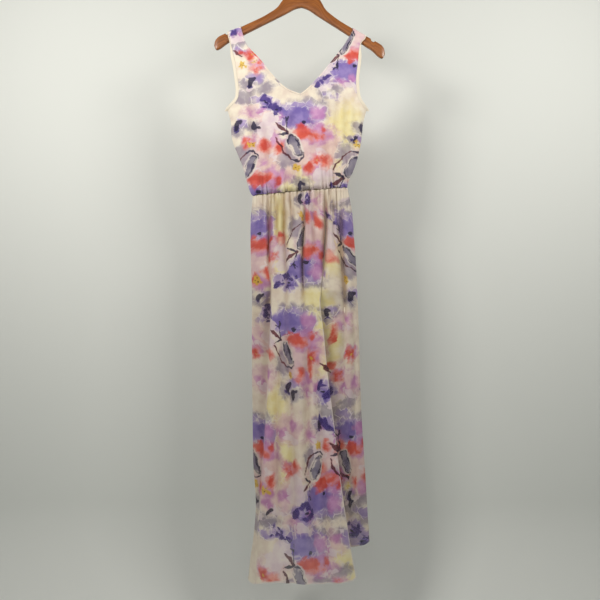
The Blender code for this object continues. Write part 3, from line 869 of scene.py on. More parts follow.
@dataclass(frozen=True)
class VarnishedWood:
    """Stained beech, planed and varnished: long fine grain and small flecks under a clear coat."""

    name: str = "stained_varnished_beech"
    light: str = "A06028"
    dark: str = "7A441A"
    fleck: str = "5E3414"
    grain: float = 0.0040
    grain_lift: float = 0.0004
    fleck_size: float = 0.0016
    stretch: float = 14.0

    def build(self) -> Material:
        """The material: grain and flecks are noise stretched along the arm by its own UV map."""
        material, tree, shader = principled(
            self.name, linear(self.light), 0.42, Coat_Weight=0.55, Coat_Roughness=0.22
        )
        arm = add_node(tree, "UVMap", {}, uv_map="cloth").outputs["UV"]
        along = {"Vector": arm, "Scale": (1.0 / self.stretch, 1.0, 1.0)}
        laid = add_node(tree, "Mapping", along).outputs["Vector"]
        fibres = {"Vector": laid, "Scale": 1.0 / self.grain, "Detail": 5.0, "Distortion": 0.6}
        grain = add_node(tree, "TexNoise", fibres)
        bands = {"Value": grain.outputs["Fac"], "From Min": 0.34, "From Max": 0.66}
        share = add_node(tree, "MapRange", bands)
        dark, light = linear(self.dark), linear(self.light)
        tones = {MIX_FACTOR: share.outputs[0], MIX_FIRST: dark, MIX_SECOND: light}
        wood = add_node(tree, "Mix", tones, data_type="RGBA").outputs[MIX_RESULT]
        specks = {"Vector": laid, "Scale": 1.0 / self.fleck_size, "Detail": 1.0}
        flecks = add_node(tree, "TexNoise", specks)
        sparse = {"Value": flecks.outputs["Fac"], "From Min": 0.62, "From Max": 0.72, "To Max": 0.6}
        cover = add_node(tree, "MapRange", sparse)
        tones = {MIX_FACTOR: cover.outputs[0], MIX_FIRST: wood, MIX_SECOND: linear(self.fleck)}
        mix = add_node(tree, "Mix", tones, data_type="RGBA")
        tree.links.new(mix.outputs[MIX_RESULT], shader.inputs["Base Color"])
        lift = {"Height": grain.outputs["Fac"], "Strength": 0.12, "Distance": self.grain_lift}
        bump = add_node(tree, "Bump", lift)
        tree.links.new(bump.outputs["Normal"], shader.inputs["Normal"])
        return material


@dataclass(frozen=True)
class PlatedSteel:
    """Nickel-plated spring wire: bright and smooth, with faint drawing marks along it."""

    name: str = "nickel_plated_wire"
    shade: str = "C9C7C2"
    scratch: float = 0.002
    stretch: float = 20.0
    roughness: tuple = (0.16, 0.34)

    def build(self) -> Material:
        """The material: drawing marks are noise stretched along the wire that vary its gloss."""
        material, tree, shader = principled(self.name, linear(self.shade), 0.24, Metallic=1.0)
        wire = add_node(tree, "UVMap", {}, uv_map="cloth").outputs["UV"]
        along = {"Vector": wire, "Scale": (1.0 / self.stretch, 1.0, 1.0)}
        laid = add_node(tree, "Mapping", along).outputs["Vector"]
        drawn = {"Vector": laid, "Scale": 1.0 / self.scratch, "Detail": 2.0}
        marks = add_node(tree, "TexNoise", drawn)
        smooth, worn = self.roughness
        gloss = {"Value": marks.outputs["Fac"], "To Min": smooth, "To Max": worn}
        rough = add_node(tree, "MapRange", gloss)
        tree.links.new(rough.outputs[0], shader.inputs["Roughness"])
        return material


@dataclass(frozen=True)
class StudioPaper:
    """Matt pale backdrop paper, seen from its front only: its back lets the eye and light pass."""

    name: str = "backdrop_paper"
    shade: str = "D6DAD6"

    def build(self) -> Material:
        """The material: plain matt colour, mixed to clear where the face looks away."""
        material, tree, shader = principled(self.name, linear(self.shade), 0.95)
        clear = add_node(tree, "BsdfTransparent", {})
        facing = add_node(tree, "NewGeometry", {})
        sides = {0: facing.outputs["Backfacing"], 1: shader.outputs[0], 2: clear.outputs[0]}
        mix = add_node(tree, "MixShader", sides)
        tree.links.new(mix.outputs[0], tree.nodes["Material Output"].inputs["Surface"])
        return material


@dataclass
class Shape:
    """Points, faces and cloth coordinates of a piece, ready to become a mesh."""

    points: Grid
    faces: list
    cloth: Grid
    # Painted shade at each point, from 0 to 1: pleats' troughs and the slit's shadow
    painted_shade: Grid | None = None

    def to_object(self, name: str, material: Material) -> Piece:
        """A smooth-shaded object at the origin, with its cloth coordinates as a UV map in metres."""
        mesh = bpy.data.meshes.new(name)
        mesh.from_pydata(self.points.tolist(), [], self.faces)
        corners = np.empty(len(mesh.loops), dtype=np.int32)
        mesh.loops.foreach_get("vertex_index", corners)
        layer = mesh.uv_layers.new(name="cloth")
        layer.data.foreach_set("uv", (self.cloth[corners] / MM).astype(np.float32).ravel())
        mesh.materials.append(material)
        mesh.shade_smooth()
        mesh.set_sharp_from_angle(angle=math.radians(50))
        piece = bpy.data.objects.new(name, mesh)
        bpy.context.scene.collection.objects.link(piece)
        return piece


def full_turn(count: int) -> Grid:
    """Angles set evenly round a full turn, the first at 0 and the last a step before it."""
    return np.linspace(0.0, 2 * math.pi, count, endpoint=False)


def stacked(*parts: Grid) -> Grid:
    """Arrays spread to one common shape and set side by side along a new last axis."""
    return np.stack(np.broadcast_arrays(*parts), axis=-1)


def square_off(wave: Grid, power: float) -> Grid:
    """A sine or cosine made squarer by a power below 1, its sign kept."""
    return np.sign(wave) * np.abs(wave) ** power


def arc_length(path: Grid) -> Grid:
    """The length run along a path of points, from 0 at its first."""
    return np.concatenate(([0.0], np.cumsum(np.linalg.norm(np.diff(path, axis=0), axis=1))))


def signed_volume(points: Grid, quads: Grid) -> float:
    """Six times the volume inside closed quads; below zero where they face inwards."""
    a, b, c, d = (points[quads[:, corner]] for corner in range(4))
    return float(np.sum(a * np.cross(b, c)) + np.sum(a * np.cross(c, d)))


def grid_quads(index: Grid) -> Grid:
    """Quads between neighbours of an index grid whose rows run down and columns to the right."""
    corners = (index[:-1, :-1], index[1:, :-1], index[1:, 1:], index[:-1, 1:])
    return np.stack(corners, axis=-1).reshape(-1, 4)


def cloth_shell(points: Grid, cloth: Grid, quads: Grid, wall: Grid, painted_shade: Grid) -> Shape:
    """A closed thin wall about a surface: it is moved half the wall along its normals both ways.

    Args:
        points: Points by three of the middle surface.
        cloth: Points by two, the cloth coordinates.
        quads: Faces of the middle surface, facing outwards.
        wall: Thickness at each point.
        painted_shade: Painted shade at each point, from 0 to 1.

    Returns:
        The shape, its outer points first, with a rim round every border.
    """
    used, flat = np.unique(quads, return_inverse=True)
    quads = flat.reshape(quads.shape)
    points, cloth, wall, painted_shade = points[used], cloth[used], wall[used], painted_shade[used]
    facing = np.cross(
        points[quads[:, 2]] - points[quads[:, 0]], points[quads[:, 3]] - points[quads[:, 1]]
    )
    normals = np.zeros_like(points)
    for corner in range(4):
        np.add.at(normals, quads[:, corner], facing)
    normals /= np.linalg.norm(normals, axis=1, keepdims=True)
    count = len(points)
    half = normals * wall[:, None] / 2
    edges = np.concatenate([quads[:, [corner, (corner + 1) % 4]] for corner in range(4)])
    keys = edges[:, 0].astype(np.int64) * count + edges[:, 1]
    back = edges[:, 1].astype(np.int64) * count + edges[:, 0]
    border = edges[~np.isin(keys, back)]
    rim = stacked(border[:, 1], border[:, 0], border[:, 0] + count, border[:, 1] + count)
    faces = np.concatenate((quads, quads[:, ::-1] + count, rim))
    both = np.concatenate((points + half, points - half))
    return Shape(both, faces.tolist(), np.tile(cloth, (2, 1)), np.tile(painted_shade, 2))


def ring_quads(rows: int, columns: int, closed_rows: bool) -> Grid:
    """Quads of a tube of rows by columns, closed round its columns and maybe along its rows."""
    index = np.arange(rows * columns).reshape(rows, columns)
    index = np.concatenate((index, index[:, :1]), axis=1)
    if closed_rows:
        index = np.concatenate((index, index[:1]), axis=0)
    return grid_quads(index)


def loop_shape(rings: Grid, cloth: Grid) -> Shape:
    """A tube through rings that closes on itself, facing outwards; cloth is in millimetres."""
    points = rings.reshape(-1, 3)
    quads = ring_quads(rings.shape[0], rings.shape[1], True)
    if signed_volume(points, quads) < 0:
        quads = quads[:, ::-1]
    return Shape(points, quads.tolist(), cloth.reshape(-1, 2))


def tube_shape(rings: Grid, cloth: Grid) -> Shape:
    """A closed tube through rings, its ends drawn to the middle of the first and last ring.

    Args:
        rings: Rings by points by three.
        cloth: Rings by points by two, the cloth coordinates in millimetres.

    Returns:
        The shape, facing outwards.
    """
    rows, columns, _ = rings.shape
    points = rings.reshape(-1, 3)
    poles = np.stack((rings[0].mean(axis=0), rings[-1].mean(axis=0)))
    quads = ring_quads(rows, columns, False)
    here = np.arange(columns)
    after = np.roll(here, -1)
    first = stacked(np.full(columns, len(points)), here, after)
    base = (rows - 1) * columns
    last = stacked(np.full(columns, len(points) + 1), base + after, base + here)
    if signed_volume(points, quads) < 0:
        quads, first, last = quads[:, ::-1], first[:, ::-1], last[:, ::-1]
    spread = cloth.reshape(-1, 2)
    ends = np.stack((cloth[0].mean(axis=0), cloth[-1].mean(axis=0)))
    faces = quads.tolist() + first.tolist() + last.tolist()
    return Shape(np.concatenate((points, poles)), faces, np.concatenate((spread, ends)))


def ribbon_shape(edge: Grid, inside: Grid, near: float, width: Grid, thickness: float) -> Shape:
    """A soft-edged ribbon round a closed cloth edge.

    The section is a flattened superellipse, carried along the edge in the cloth's own plane.

    Args:
        edge: Points by three of the edge's loop.
        inside: The next points within the cloth, which give the cloth's direction.
        near: Distance from the edge to the ribbon.
        width: Ribbon width at each point.
        thickness: Ribbon thickness.

    Returns:
        The shape, facing outwards.
    """
    outwards = edge - inside
    along = np.roll(edge, -1, axis=0) - np.roll(edge, 1, axis=0)
    along /= np.linalg.norm(along, axis=1, keepdims=True)
    outwards -= along * np.sum(outwards * along, axis=1, keepdims=True)
    outwards /= np.linalg.norm(outwards, axis=1, keepdims=True)
    normal = np.cross(along, outwards)
    turn = full_turn(12)
    reach = near + width[:, None] * (1 + square_off(np.cos(turn), 0.6)) / 2
    lift = thickness / 2 * square_off(np.sin(turn), 0.6)
    rings = edge[:, None] + outwards[:, None] * reach[..., None]
    rings = rings + normal[:, None] * lift[None, :, None]
    length = np.cumsum(np.linalg.norm(edge - np.roll(edge, 1, axis=0), axis=1))
    cloth = stacked(reach, length[:, None]) * MM
    return loop_shape(rings, cloth)


def store_print(piece: Piece, fields: dict[Paint, Grid], painted_shade: Grid | None = None) -> None:
    """Keeps each paint's field, and the painted shade of pleats and shadows, as attributes of the
    points.
    """
    kept = {paint.value: values for paint, values in fields.items()}
    kept[PAINTED_SHADE_ATTRIBUTE] = np.zeros(len(piece.data.vertices)) if painted_shade is None else painted_shade
    for name, values in kept.items():
        layer = piece.data.attributes.new(name, "FLOAT", "POINT")
        layer.data.foreach_set("value", values.astype(np.float32))


def report(piece: Piece) -> None:
    """Logs a piece with its number of faces."""
    LOG.info("%s: %d faces", piece.name, len(piece.data.polygons))


def waist_tilt(x: Grid, drop: Grid) -> Grid:
    """How much lower the waist seam hangs on the left: a slope that fades away above and below."""
    above = smooth_step(0.470, 0.560, drop)
    below = 1.0 - smooth_step(0.590, 0.720, drop)
    return WAIST_SLANT * x * above * below


@dataclass
class Hanger:
    """The flat wooden hanger, tilted about its crown, and its wire hook."""

    thickness: float = 0.0120
    notch_at: float = 0.184
    notch_radius: float = 0.0052
    wire: float = 0.00175
    hook_inside: float = 0.020
    hook_start: float = math.radians(-65)
    hook_end: float = math.radians(205)
    stem_height: float = 0.012
    arm_slope: float = 1.15
    # The top edge and the underside, from the crown's middle to the tip, as x and height.
    top: tuple = (
        (0.000, 0.000), (0.018, -0.001), (0.034, -0.005), (0.044, -0.012), (0.051, -0.022),
        (0.060, -0.036), (0.085, -0.056), (0.133, -0.083), (0.152, -0.093), (0.196, -0.114),
        (0.208, -0.121), (0.215, -0.131), (0.217, -0.142),
    )
    under: tuple = (
        (0.000, -0.034), (0.014, -0.038), (0.040, -0.053), (0.090, -0.081), (0.150, -0.115),
        (0.180, -0.132), (0.213, -0.151), (0.217, -0.142),
    )

    def place(self, x: Grid, z: Grid) -> tuple[Grid, Grid]:
        """Where a point of the hanger's own outline lies once it is tilted about its crown."""
        turn_cos, turn_sin = math.cos(HANGER_TILT), math.sin(HANGER_TILT)
        return x * turn_cos + z * turn_sin, z * turn_cos - x * turn_sin - HANGER_TOP_DROP

    def edge(self, outline: tuple, x: Grid) -> Grid:
        """An outline's height at each distance from the crown, on a smooth curve by its length."""
        points = np.array(outline)
        run = arc_length(points)
        fine = np.linspace(0.0, run[-1], 600)
        fine_x = smooth_read(run, points[:, 0], fine)
        fine_z = smooth_read(run, points[:, 1], fine)
        return np.interp(np.abs(x), np.maximum.accumulate(fine_x), fine_z)

    def top_drop(self, x: Grid) -> Grid:
        """The drop of the top edge at each place across, notches left out."""
        stations = np.linspace(-self.top[-1][0], self.top[-1][0], 801)
        place_x, place_z = self.place(stations, self.edge(self.top, stations))
        return np.interp(x, place_x, -place_z)

    def build(self, wood: Material, metal: Material) -> list[Piece]:
        """The wooden body and the hook."""
        body = self._body().to_object("wooden_hanger", wood)
        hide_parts("hanger_body")
        hook = self._hook().to_object("wire_hook", metal)
        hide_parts("hanger_hook")
        return [body, hook]

    def _body(self) -> Shape:
        """Superellipse sections between the top edge and the underside, closer set at the tips."""
        share = np.linspace(-1.0, 1.0, 361)
        x = self.top[-1][0] * np.sin(share * math.pi / 2) * 0.9995
        top = self.edge(self.top, x)
        under = self.edge(self.under, x)
        beside = np.abs(np.abs(x) - self.notch_at)
        notch = np.sqrt(np.clip(self.notch_radius**2 - beside**2, 0.0, None))
        top = top - notch
        turn = full_turn(32)
        flat = square_off(np.sin(turn), 0.62)
        side = square_off(np.cos(turn), 0.42)
        height = (top + under)[:, None] / 2 + (top - under)[:, None] / 2 * flat[None, :]
        thin = np.clip(1.0 - (np.abs(x) / self.top[-1][0]) ** 30, 0.02, 1.0) ** 0.5
        depth = self.thickness / 2 * side[None, :] * thin[:, None]
        across = np.broadcast_to(x[:, None], height.shape)
        place_x, place_z = self.place(across, height)
        rings = stacked(place_x, depth, place_z)
        # The grain follows each sloping arm, so it is laid along x, stretched by the slope, and
        # measured down from the top edge.
        cloth = stacked(across * self.arm_slope, height - top[:, None] + depth)
        return tube_shape(rings, cloth * MM)

    def _hook(self) -> Shape:
        """A round wire along a straight stem and an open arc, with rounded ends."""
        radius = self.hook_inside + self.wire
        turn = np.linspace(self.hook_start, self.hook_end, 90)
        loop = stacked(radius * np.cos(turn), radius * np.sin(turn) - self.hook_inside)
        foot = -HANGER_TOP_DROP + 2 * SEAM_GAP
        rise = np.linspace(0.0, 1.0, 30)[:-1, None]
        start = np.array((0.0, foot))
        bend = np.array((0.0, foot + self.stem_height))
        stem = (1 - rise) ** 2 * start + 2 * rise * (1 - rise) * bend + rise**2 * loop[0]
        path = np.concatenate((stem, loop))
        along = np.gradient(path, axis=0)
        along /= np.linalg.norm(along, axis=1, keepdims=True)
        length = arc_length(path)
        to_end = np.minimum(length, length[-1] - length)
        round_end = np.sqrt(np.clip(1 - (1 - np.clip(to_end / self.wire, 0.02, 1.0)) ** 2, 0.0, 1.0))
        angle = full_turn(16)
        out = self.wire * round_end[:, None] * np.cos(angle)
        deep = self.wire * round_end[:, None] * np.sin(angle)
        rings = stacked(path[:, :1] - along[:, 1:] * out, deep, path[:, 1:] + along[:, :1] * out)
        cloth = stacked(length[:, None], self.wire * angle[None, :])
        return tube_shape(rings, cloth * MM)


def join_shapes(shapes: list) -> Shape:
    """Several shapes as one, their face numbers moved along."""
    faces, start = [], 0
    for shape in shapes:
        faces += [[start + corner for corner in face] for face in shape.faces]
        start += len(shape.points)
    points = np.concatenate([shape.points for shape in shapes])
    return Shape(points, faces, np.concatenate([shape.cloth for shape in shapes]))


@dataclass(frozen=True)
class TackRow:
    """A short row of tack stitches under the V, each a small round-ended thread."""

    count: int = 8
    pitch: float = 0.0030
    thread: float = 0.00032
    half_length: float = 0.0011
    below_v: float = 0.009

    def shape(self, line: Grid, v_drop: float) -> Shape:
        """The stitches across the panel's middle line, each a tube that thins at its ends.

        Args:
            line: Points down the middle of the panel.
            v_drop: Drop of the V's foot.

        Returns:
            All stitches as one shape.
        """
        drop = v_drop + self.below_v
        surface = line[int(np.argmin(np.abs(-line[:, 2] - drop))), 1]
        share = np.linspace(-1.0, 1.0, 9)
        angle = full_turn(8)
        fat = self.thread * np.sqrt(np.clip(1.0 - share**4, 0.02, 1.0))
        y = surface - CHIFFON_WALL + fat[:, None] * np.cos(angle)
        z = -drop + fat[:, None] * np.sin(angle)
        stitches = []
        for index in range(self.count):
            middle = DRESS_X + CENTRE_X + self.pitch * (index - (self.count - 1) / 2)
            x = middle + self.half_length * share
            rings = stacked(x[:, None], y, z)
            round_thread = self.thread * angle[None, :]
            cloth = stacked(x[:, None], round_thread)
            stitches.append(tube_shape(rings, cloth * MM))
        return join_shapes(stitches)


@dataclass
class Bodice:
    """The bloused bodice: front and back panels, neck binding, armhole facings and tack stitches."""

    hanger: Hanger
    back_share: float = 0.85
    back_neck_extra: float = 0.006
    back_v_extra: float = 0.010
    strap_blend: tuple = (0.195, 0.275)
    binding_width: float = 0.004
    facing_width: float = 0.008
    taper_share: float = 0.25
    taper_drops: tuple = (0.195, 0.235)
    band: float = 0.0014
    pucker: float = 0.0011
    pucker_drops: tuple = (0.535, 0.562)
    # The painted shade in the troughs of folds and gathers, and the drops over which it fades in
    pleat_shade_strength: float = 0.7
    pleat_shade_drops: tuple = (0.28, 0.36)
    roll: float = 9.0  # how much longer the cloth runs over a strap's crown, in millimetres
    roll_end: float = 190.0
    wrap_rows: int = 14
    rows: int = 200
    foot_drop: float = 0.556
    foot_rows: int = 22
    columns: int = 98
    v_row: int = 5
    underarm_row: int = 6
    halves: tuple = (
        (
            HalfRow(-0.1810, 0.1672, 0.1534, -0.1500),
            HalfRow(-0.1741, 0.2010, 0.2057, -0.1337),
            HalfRow(-0.1631, 0.2476, 0.2480, -0.1010),
            HalfRow(-0.1568, 0.2883, 0.2873, -0.0717),
            HalfRow(-0.1537, 0.3188, 0.3220, -0.0360),
            HalfRow(-0.1580, 0.3440, 0.3378),
            HalfRow(-0.1830, 0.3670, 0.3700),
            HalfRow(-0.1746, 0.3980, 0.4000),
            HalfRow(-0.1746, 0.4230, 0.4250),
            HalfRow(-0.1687, 0.4509, 0.4510),
            HalfRow(-0.1575, 0.4778, 0.4780),
            HalfRow(-0.1453, 0.5043, 0.5040),
            HalfRow(-0.1370, 0.5300, 0.5300),
            HalfRow(-0.1290, 0.5540, 0.5540),
            HalfRow(-0.1240, 0.5680, 0.5680),
            HalfRow(-0.1194, 0.5720, 0.5720),
        ),
        (
            HalfRow(0.1640, 0.1733, 0.1573, 0.1347),
            HalfRow(0.1512, 0.2019, 0.1990, 0.1155),
            HalfRow(0.1456, 0.2476, 0.2484, 0.0839),
            HalfRow(0.1408, 0.2883, 0.2870, 0.0540),
            HalfRow(0.1420, 0.3188, 0.3180, 0.0260),
            HalfRow(0.1480, 0.3440, 0.3378),
            HalfRow(0.1677, 0.3670, 0.3700),
            HalfRow(0.1601, 0.3980, 0.4000),
            HalfRow(0.1575, 0.4230, 0.4250),
            HalfRow(0.1535, 0.4509, 0.4510),
            HalfRow(0.1481, 0.4778, 0.4780),
            HalfRow(0.1420, 0.5043, 0.5040),
            HalfRow(0.1340, 0.5300, 0.5300),
            HalfRow(0.1235, 0.5540, 0.5540),
            HalfRow(0.1200, 0.5680, 0.5680),
            HalfRow(0.1185, 0.5720, 0.5720),
        ),
    )
    body: tuple = (
        BodyRow(0.150, -0.1990, 0.1830, 0.016),
        BodyRow(0.250, -0.1930, 0.1770, 0.023),
        BodyRow(0.367, -0.1830, 0.1677, 0.028),
        BodyRow(0.423, -0.1746, 0.1575, 0.031),
        BodyRow(0.4778, -0.1575, 0.1481, 0.033),
        BodyRow(0.530, -0.1370, 0.1340, 0.033),
        BodyRow(0.554, -0.1290, 0.1235, 0.030),
        BodyRow(0.568, -0.1240, 0.1200, 0.025),
        BodyRow(0.572, -0.1194, 0.1185, 0.0205),
    )
    folds: tuple = (
        Fold(-0.128, -0.112, 0.003, 0.010, 0.0030, 0.300, 0.560),
        Fold(-0.090, -0.082, 0.003, 0.009, 0.0028, 0.390, 0.572),
        Fold(-0.052, -0.060, 0.002, 0.012, -0.0026, 0.350, 0.560),
        Fold(-0.020, -0.026, 0.003, 0.010, 0.0024, 0.370, 0.572),
        Fold(0.034, 0.030, 0.002, 0.010, 0.0026, 0.380, 0.572),
        Fold(0.070, 0.066, 0.003, 0.009, 0.0030, 0.330, 0.572),
        Fold(0.094, 0.088, 0.002, 0.007, 0.0034, 0.300, 0.572),
        Fold(0.118, 0.106, 0.002, 0.008, 0.0030, 0.320, 0.572),
        Fold(0.138, 0.122, 0.002, 0.007, 0.0026, 0.350, 0.560),
    )
    gatherings: tuple = (
        Gathering(-0.125, 0.125, 34, 5, 0.090),
        Gathering(0.045, 0.125, 14, 11, 0.170),
        Gathering(-0.110, 0.040, 12, 17, 0.200),
    )

    def build(self, chiffon: Material, lining: Material) -> list[Piece]:
        """All pieces of the bodice."""
        drops = self._row_places()
        front = [self._half(side, -1.0, drops) for side in (0, 1)]
        back = [self._half(side, 1.0, drops) for side in (0, 1)]
        pieces = [
            self._panel("front_bodice", front, -1.0, chiffon, lining, BODICE_PLACES),
            self._panel("back_bodice", back, 1.0, chiffon, lining, FloralPrint().repeated(150, 580)),
        ]
        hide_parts("bodice_front")
        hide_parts("bodice_back")
        pieces.append(self._binding(front, back, drops, chiffon))
        for side, name in enumerate(("left", "right")):
            pieces.append(self._facing(name, front[side], back[side], drops, lining))
        pieces.append(self._tack(front, lining))
        return pieces

    def _row_places(self) -> Grid:
        """Fractional row numbers in the tables, evenly down the cloth and close at the foot."""
        mean = (column(self.halves[0], "outer_drop") + column(self.halves[0], "inner_drop")) / 2
        main = np.linspace(mean[0], self.foot_drop, self.rows)
        rise = np.linspace(1.0, 0.0, self.foot_rows)[1:] ** 1.6
        foot = mean[-1] - (mean[-1] - self.foot_drop) * rise
        places = np.interp(np.concatenate((main, foot)), mean, np.arange(len(mean)))
        return np.unique(np.concatenate((places, (self.v_row, self.underarm_row))))

    @staticmethod
    def _edge(values: Grid, corner: int, at: Grid) -> Grid:
        """A table column at fractional rows, smooth on both sides of its corner row."""
        rows = np.arange(len(values), dtype=float)
        upper = smooth_read(rows[: corner + 1], values[: corner + 1], at)
        lower = smooth_read(rows[corner:], values[corner:], at)
        return np.where(at <= corner, upper, lower)

    def _half(self, side: int, facing: float, rows: Grid) -> Grid:
        """Point grid of half a panel, from its armhole and side seam inwards.

        The first rows wrap the strap over the hanger as an arc round its top edge. The others
        hang below it, between the two edges, on the body's domed section less the folds.

        Args:
            side: 0 for the left half and 1 for the right.
            facing: -1 for the front panel and +1 for the back.
            rows: Fractional table rows.

        Returns:
            Rows by columns by three.
        """
        table = self.halves[side]
        numbers = np.arange(len(table))
        inner_x, inner_drop = column(table, "inner_x"), column(table, "inner_drop")
        if facing > 0:
            above_v = (numbers < self.v_row) & (numbers > 0)
            inner_x = inner_x + (2 * side - 1) * self.back_neck_extra * above_v
            inner_drop = inner_drop + self.back_v_extra * (numbers == self.v_row)
        outer_x = self._edge(column(table, "outer_x"), self.underarm_row, rows)[:, None]
        outer_drop = self._edge(column(table, "outer_drop"), self.underarm_row, rows)[:, None]
        inner_x = self._edge(inner_x, self.v_row, rows)[:, None]
        inner_drop = self._edge(inner_drop, self.v_row, rows)[:, None]
        even = np.linspace(0.0, 1.0, self.columns)
        across = (0.35 * even + 0.65 * (1.0 - np.cos(even * math.pi / 2)))[None, :]
        x = outer_x + (inner_x - outer_x) * across
        drop = outer_drop + (inner_drop - outer_drop) * across
        crown_drop = self.hanger.top_drop(x[0] + DRESS_X) - SHOULDER_CLEARANCE
        settle = 1.0 - smooth_step(0.0, 1.0, rows)[:, None]
        drop = drop + (crown_drop + SHOULDER_RADIUS - drop[0])[None, :] * settle
        left, right = self._silhouette(rows, drop)
        share = 1.0 if facing < 0 else self.back_share
        hang = read(self.body, "depth", drop) * dome(x, left, right) * share
        crease, _ = self._creases(x, drop, facing)
        hang = hang - crease * np.clip(hang / CREASE_ROOM, 0.0, 1.0)
        blend = smooth_step(*self.strap_blend, drop)
        depth = np.maximum(SHOULDER_RADIUS + (hang - SHOULDER_RADIUS) * blend, SIDE_SEAM_HALF)
        low = drop + waist_tilt(x, drop) + self._puckers(x, drop)
        body = stacked(x + DRESS_X, facing * depth, -low)
        angle = np.linspace(0.0, math.pi / 2, self.wrap_rows, endpoint=False)[:, None]
        lift = np.maximum(SHOULDER_RADIUS * np.sin(angle), SEAM_GAP / 2)
        z = -(crown_drop[None, :] + SHOULDER_RADIUS * (1 - np.cos(angle)))
        wrap = stacked(x[:1] + DRESS_X, facing * lift, z)
        return np.concatenate((wrap, body))

    def _silhouette(self, rows: Grid, drop: Grid) -> tuple[Grid, Grid]:
        """The section's left and right ends: the side seams' own places below the underarm."""
        below = (rows >= self.underarm_row)[:, None]
        ends = []
        for side, name in enumerate(("left", "right")):
            seam = self._edge(column(self.halves[side], "outer_x"), self.underarm_row, rows)[:, None]
            ends.append(np.where(below, seam, read(self.body, name, drop)))
        return ends[0], ends[1]

    def _creases(self, x: Grid, drop: Grid, facing: float) -> tuple[Grid, Grid]:
        """Depth and hidden cloth of the folds, the waist's gathers and a faint unevenness."""
        mirrored = x if facing < 0 else -x
        rise = WAIST_DROP - drop
        parts = [fold_field(self.folds, mirrored, drop)]
        parts += [gathers(mirrored, rise, run) for run in self.gatherings]
        uneven = UNEVENNESS * ripple(x * MM, drop * MM * 0.5, 46.0, 0.8)
        return sum(part[0] for part in parts) + uneven, sum(part[1] for part in parts)

    def _puckers(self, x: Grid, drop: Grid) -> Grid:
        """Small uneven scallops where the blouse turns under above the waist seam."""
        scallop = np.sin(x * 260.0) + 0.7 * np.sin(x * 430.0 + 1.0) + 0.5 * np.sin(x * 97.0 + 2.0)
        return self.pucker * scallop * smooth_step(*self.pucker_drops, drop)

    def _panel(
        self,
        name: str,
        halves: list,
        facing: float,
        chiffon: Material,
        lining: Material,
        places: tuple,
    ) -> Piece:
        """Both halves of a panel as one closed shell, joined down the centre below the V.

        Args:
            name: The piece's name.
            halves: Left and right point grids, from the outside inwards.
            facing: -1 for the front and +1 for the back.
            chiffon: Finish of the outer face.
            lining: Finish of the inner face and the rims.
            places: The motifs and their places.

        Returns:
            The piece.
        """
        left, right = halves[0], halves[1][:, ::-1]
        rows, columns, _ = left.shape
        left_index = np.arange(rows * columns).reshape(rows, columns)
        right_index = left_index + rows * columns
        joined = self.wrap_rows + int(np.sum(self._row_places() < self.v_row))
        right_index[joined:, 0] = left_index[joined:, -1]
        quads = np.concatenate((grid_quads(left_index), grid_quads(right_index)))
        if facing > 0:
            quads = quads[:, ::-1]
        points = np.concatenate((left.reshape(-1, 3), right.reshape(-1, 3)))
        cloth = stacked(points[:, 0] - DRESS_X, -points[:, 2]) * MM
        over = np.clip(self.roll - np.abs(points[:, 1]) * MM, 0.0, self.roll)
        cloth[:, 1] -= np.where(cloth[:, 1] < self.roll_end, over, 0.0)
        x, drop = points[:, 0] - DRESS_X, -points[:, 2]
        crease, _ = self._creases(x, drop, facing)
        # Painted shade in the troughs of folds and gathers, by crease depth, fading in downwards
        painted_shade = self.pleat_shade_strength * np.clip(crease / PLEAT_FULL, 0.0, 1.0)
        painted_shade = painted_shade * smooth_step(*self.pleat_shade_drops, drop)
        shape = cloth_shell(points, cloth, quads, np.full(len(points), CHIFFON_WALL), painted_shade)
        piece = shape.to_object(name, chiffon)
        piece.data.materials.append(lining)
        count = len(quads)
        slots = np.ones(len(shape.faces), dtype=np.int32)
        slots[:count] = 0
        piece.data.polygons.foreach_set("material_index", slots)
        store_print(piece, FloralPrint().paint(shape.cloth, places), shape.painted_shade)
        return piece

    @staticmethod
    def _loop(down: Grid, up: Grid, last: int, place: int) -> Grid:
        """Points down one grid's column to a row, and up another's to just under its crown."""
        crown = down[:1, place] * (1.0, 0.0, 1.0)
        foot = (down[last : last + 1, place] + up[last : last + 1, place]) / 2
        return np.concatenate((crown, down[1:last, place], foot, up[1:last, place][::-1]))

    def _binding(self, front: list, back: list, rows: Grid, chiffon: Material) -> Piece:
        """The narrow self binding all round the neck."""
        last = self.wrap_rows + int(np.sum(rows < self.v_row))
        loops = {}
        for place in (-1, -2):
            down = self._loop(front[0], front[1], last, place)
            up = self._loop(back[1], back[0], last, place)
            loops[place] = np.concatenate((down, up))
        for middle in (last, last * 3):
            loops[-2][middle] = loops[-1][middle] - (0.0, 0.0, 4 * self.band)
        shape = self._ribbon(loops[-1], loops[-2], self.binding_width)
        piece = shape.to_object("neck_self_binding", chiffon)
        store_print(piece, FloralPrint().paint(self._printed(shape), BODICE_PLACES))
        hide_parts("neck_binding")
        return piece

    @staticmethod
    def _printed(shape: Shape) -> Grid:
        """Where a narrow edge piece lies on the panels' print."""
        return stacked(shape.points[:, 0] - DRESS_X, -shape.points[:, 2]) * MM

    def _facing(self, name: str, front: Grid, back: Grid, rows: Grid, lining: Material) -> Piece:
        """The cream facing that shows all round one armhole."""
        last = self.wrap_rows + int(np.sum(rows < self.underarm_row))
        loops = [self._loop(front, back, last, place) for place in (0, 1)]
        shape = self._ribbon(loops[0], loops[1], self.facing_width)
        piece = shape.to_object(f"armhole_facing_band_{name}", lining)
        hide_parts(f"armhole_facing_{name}")
        return piece

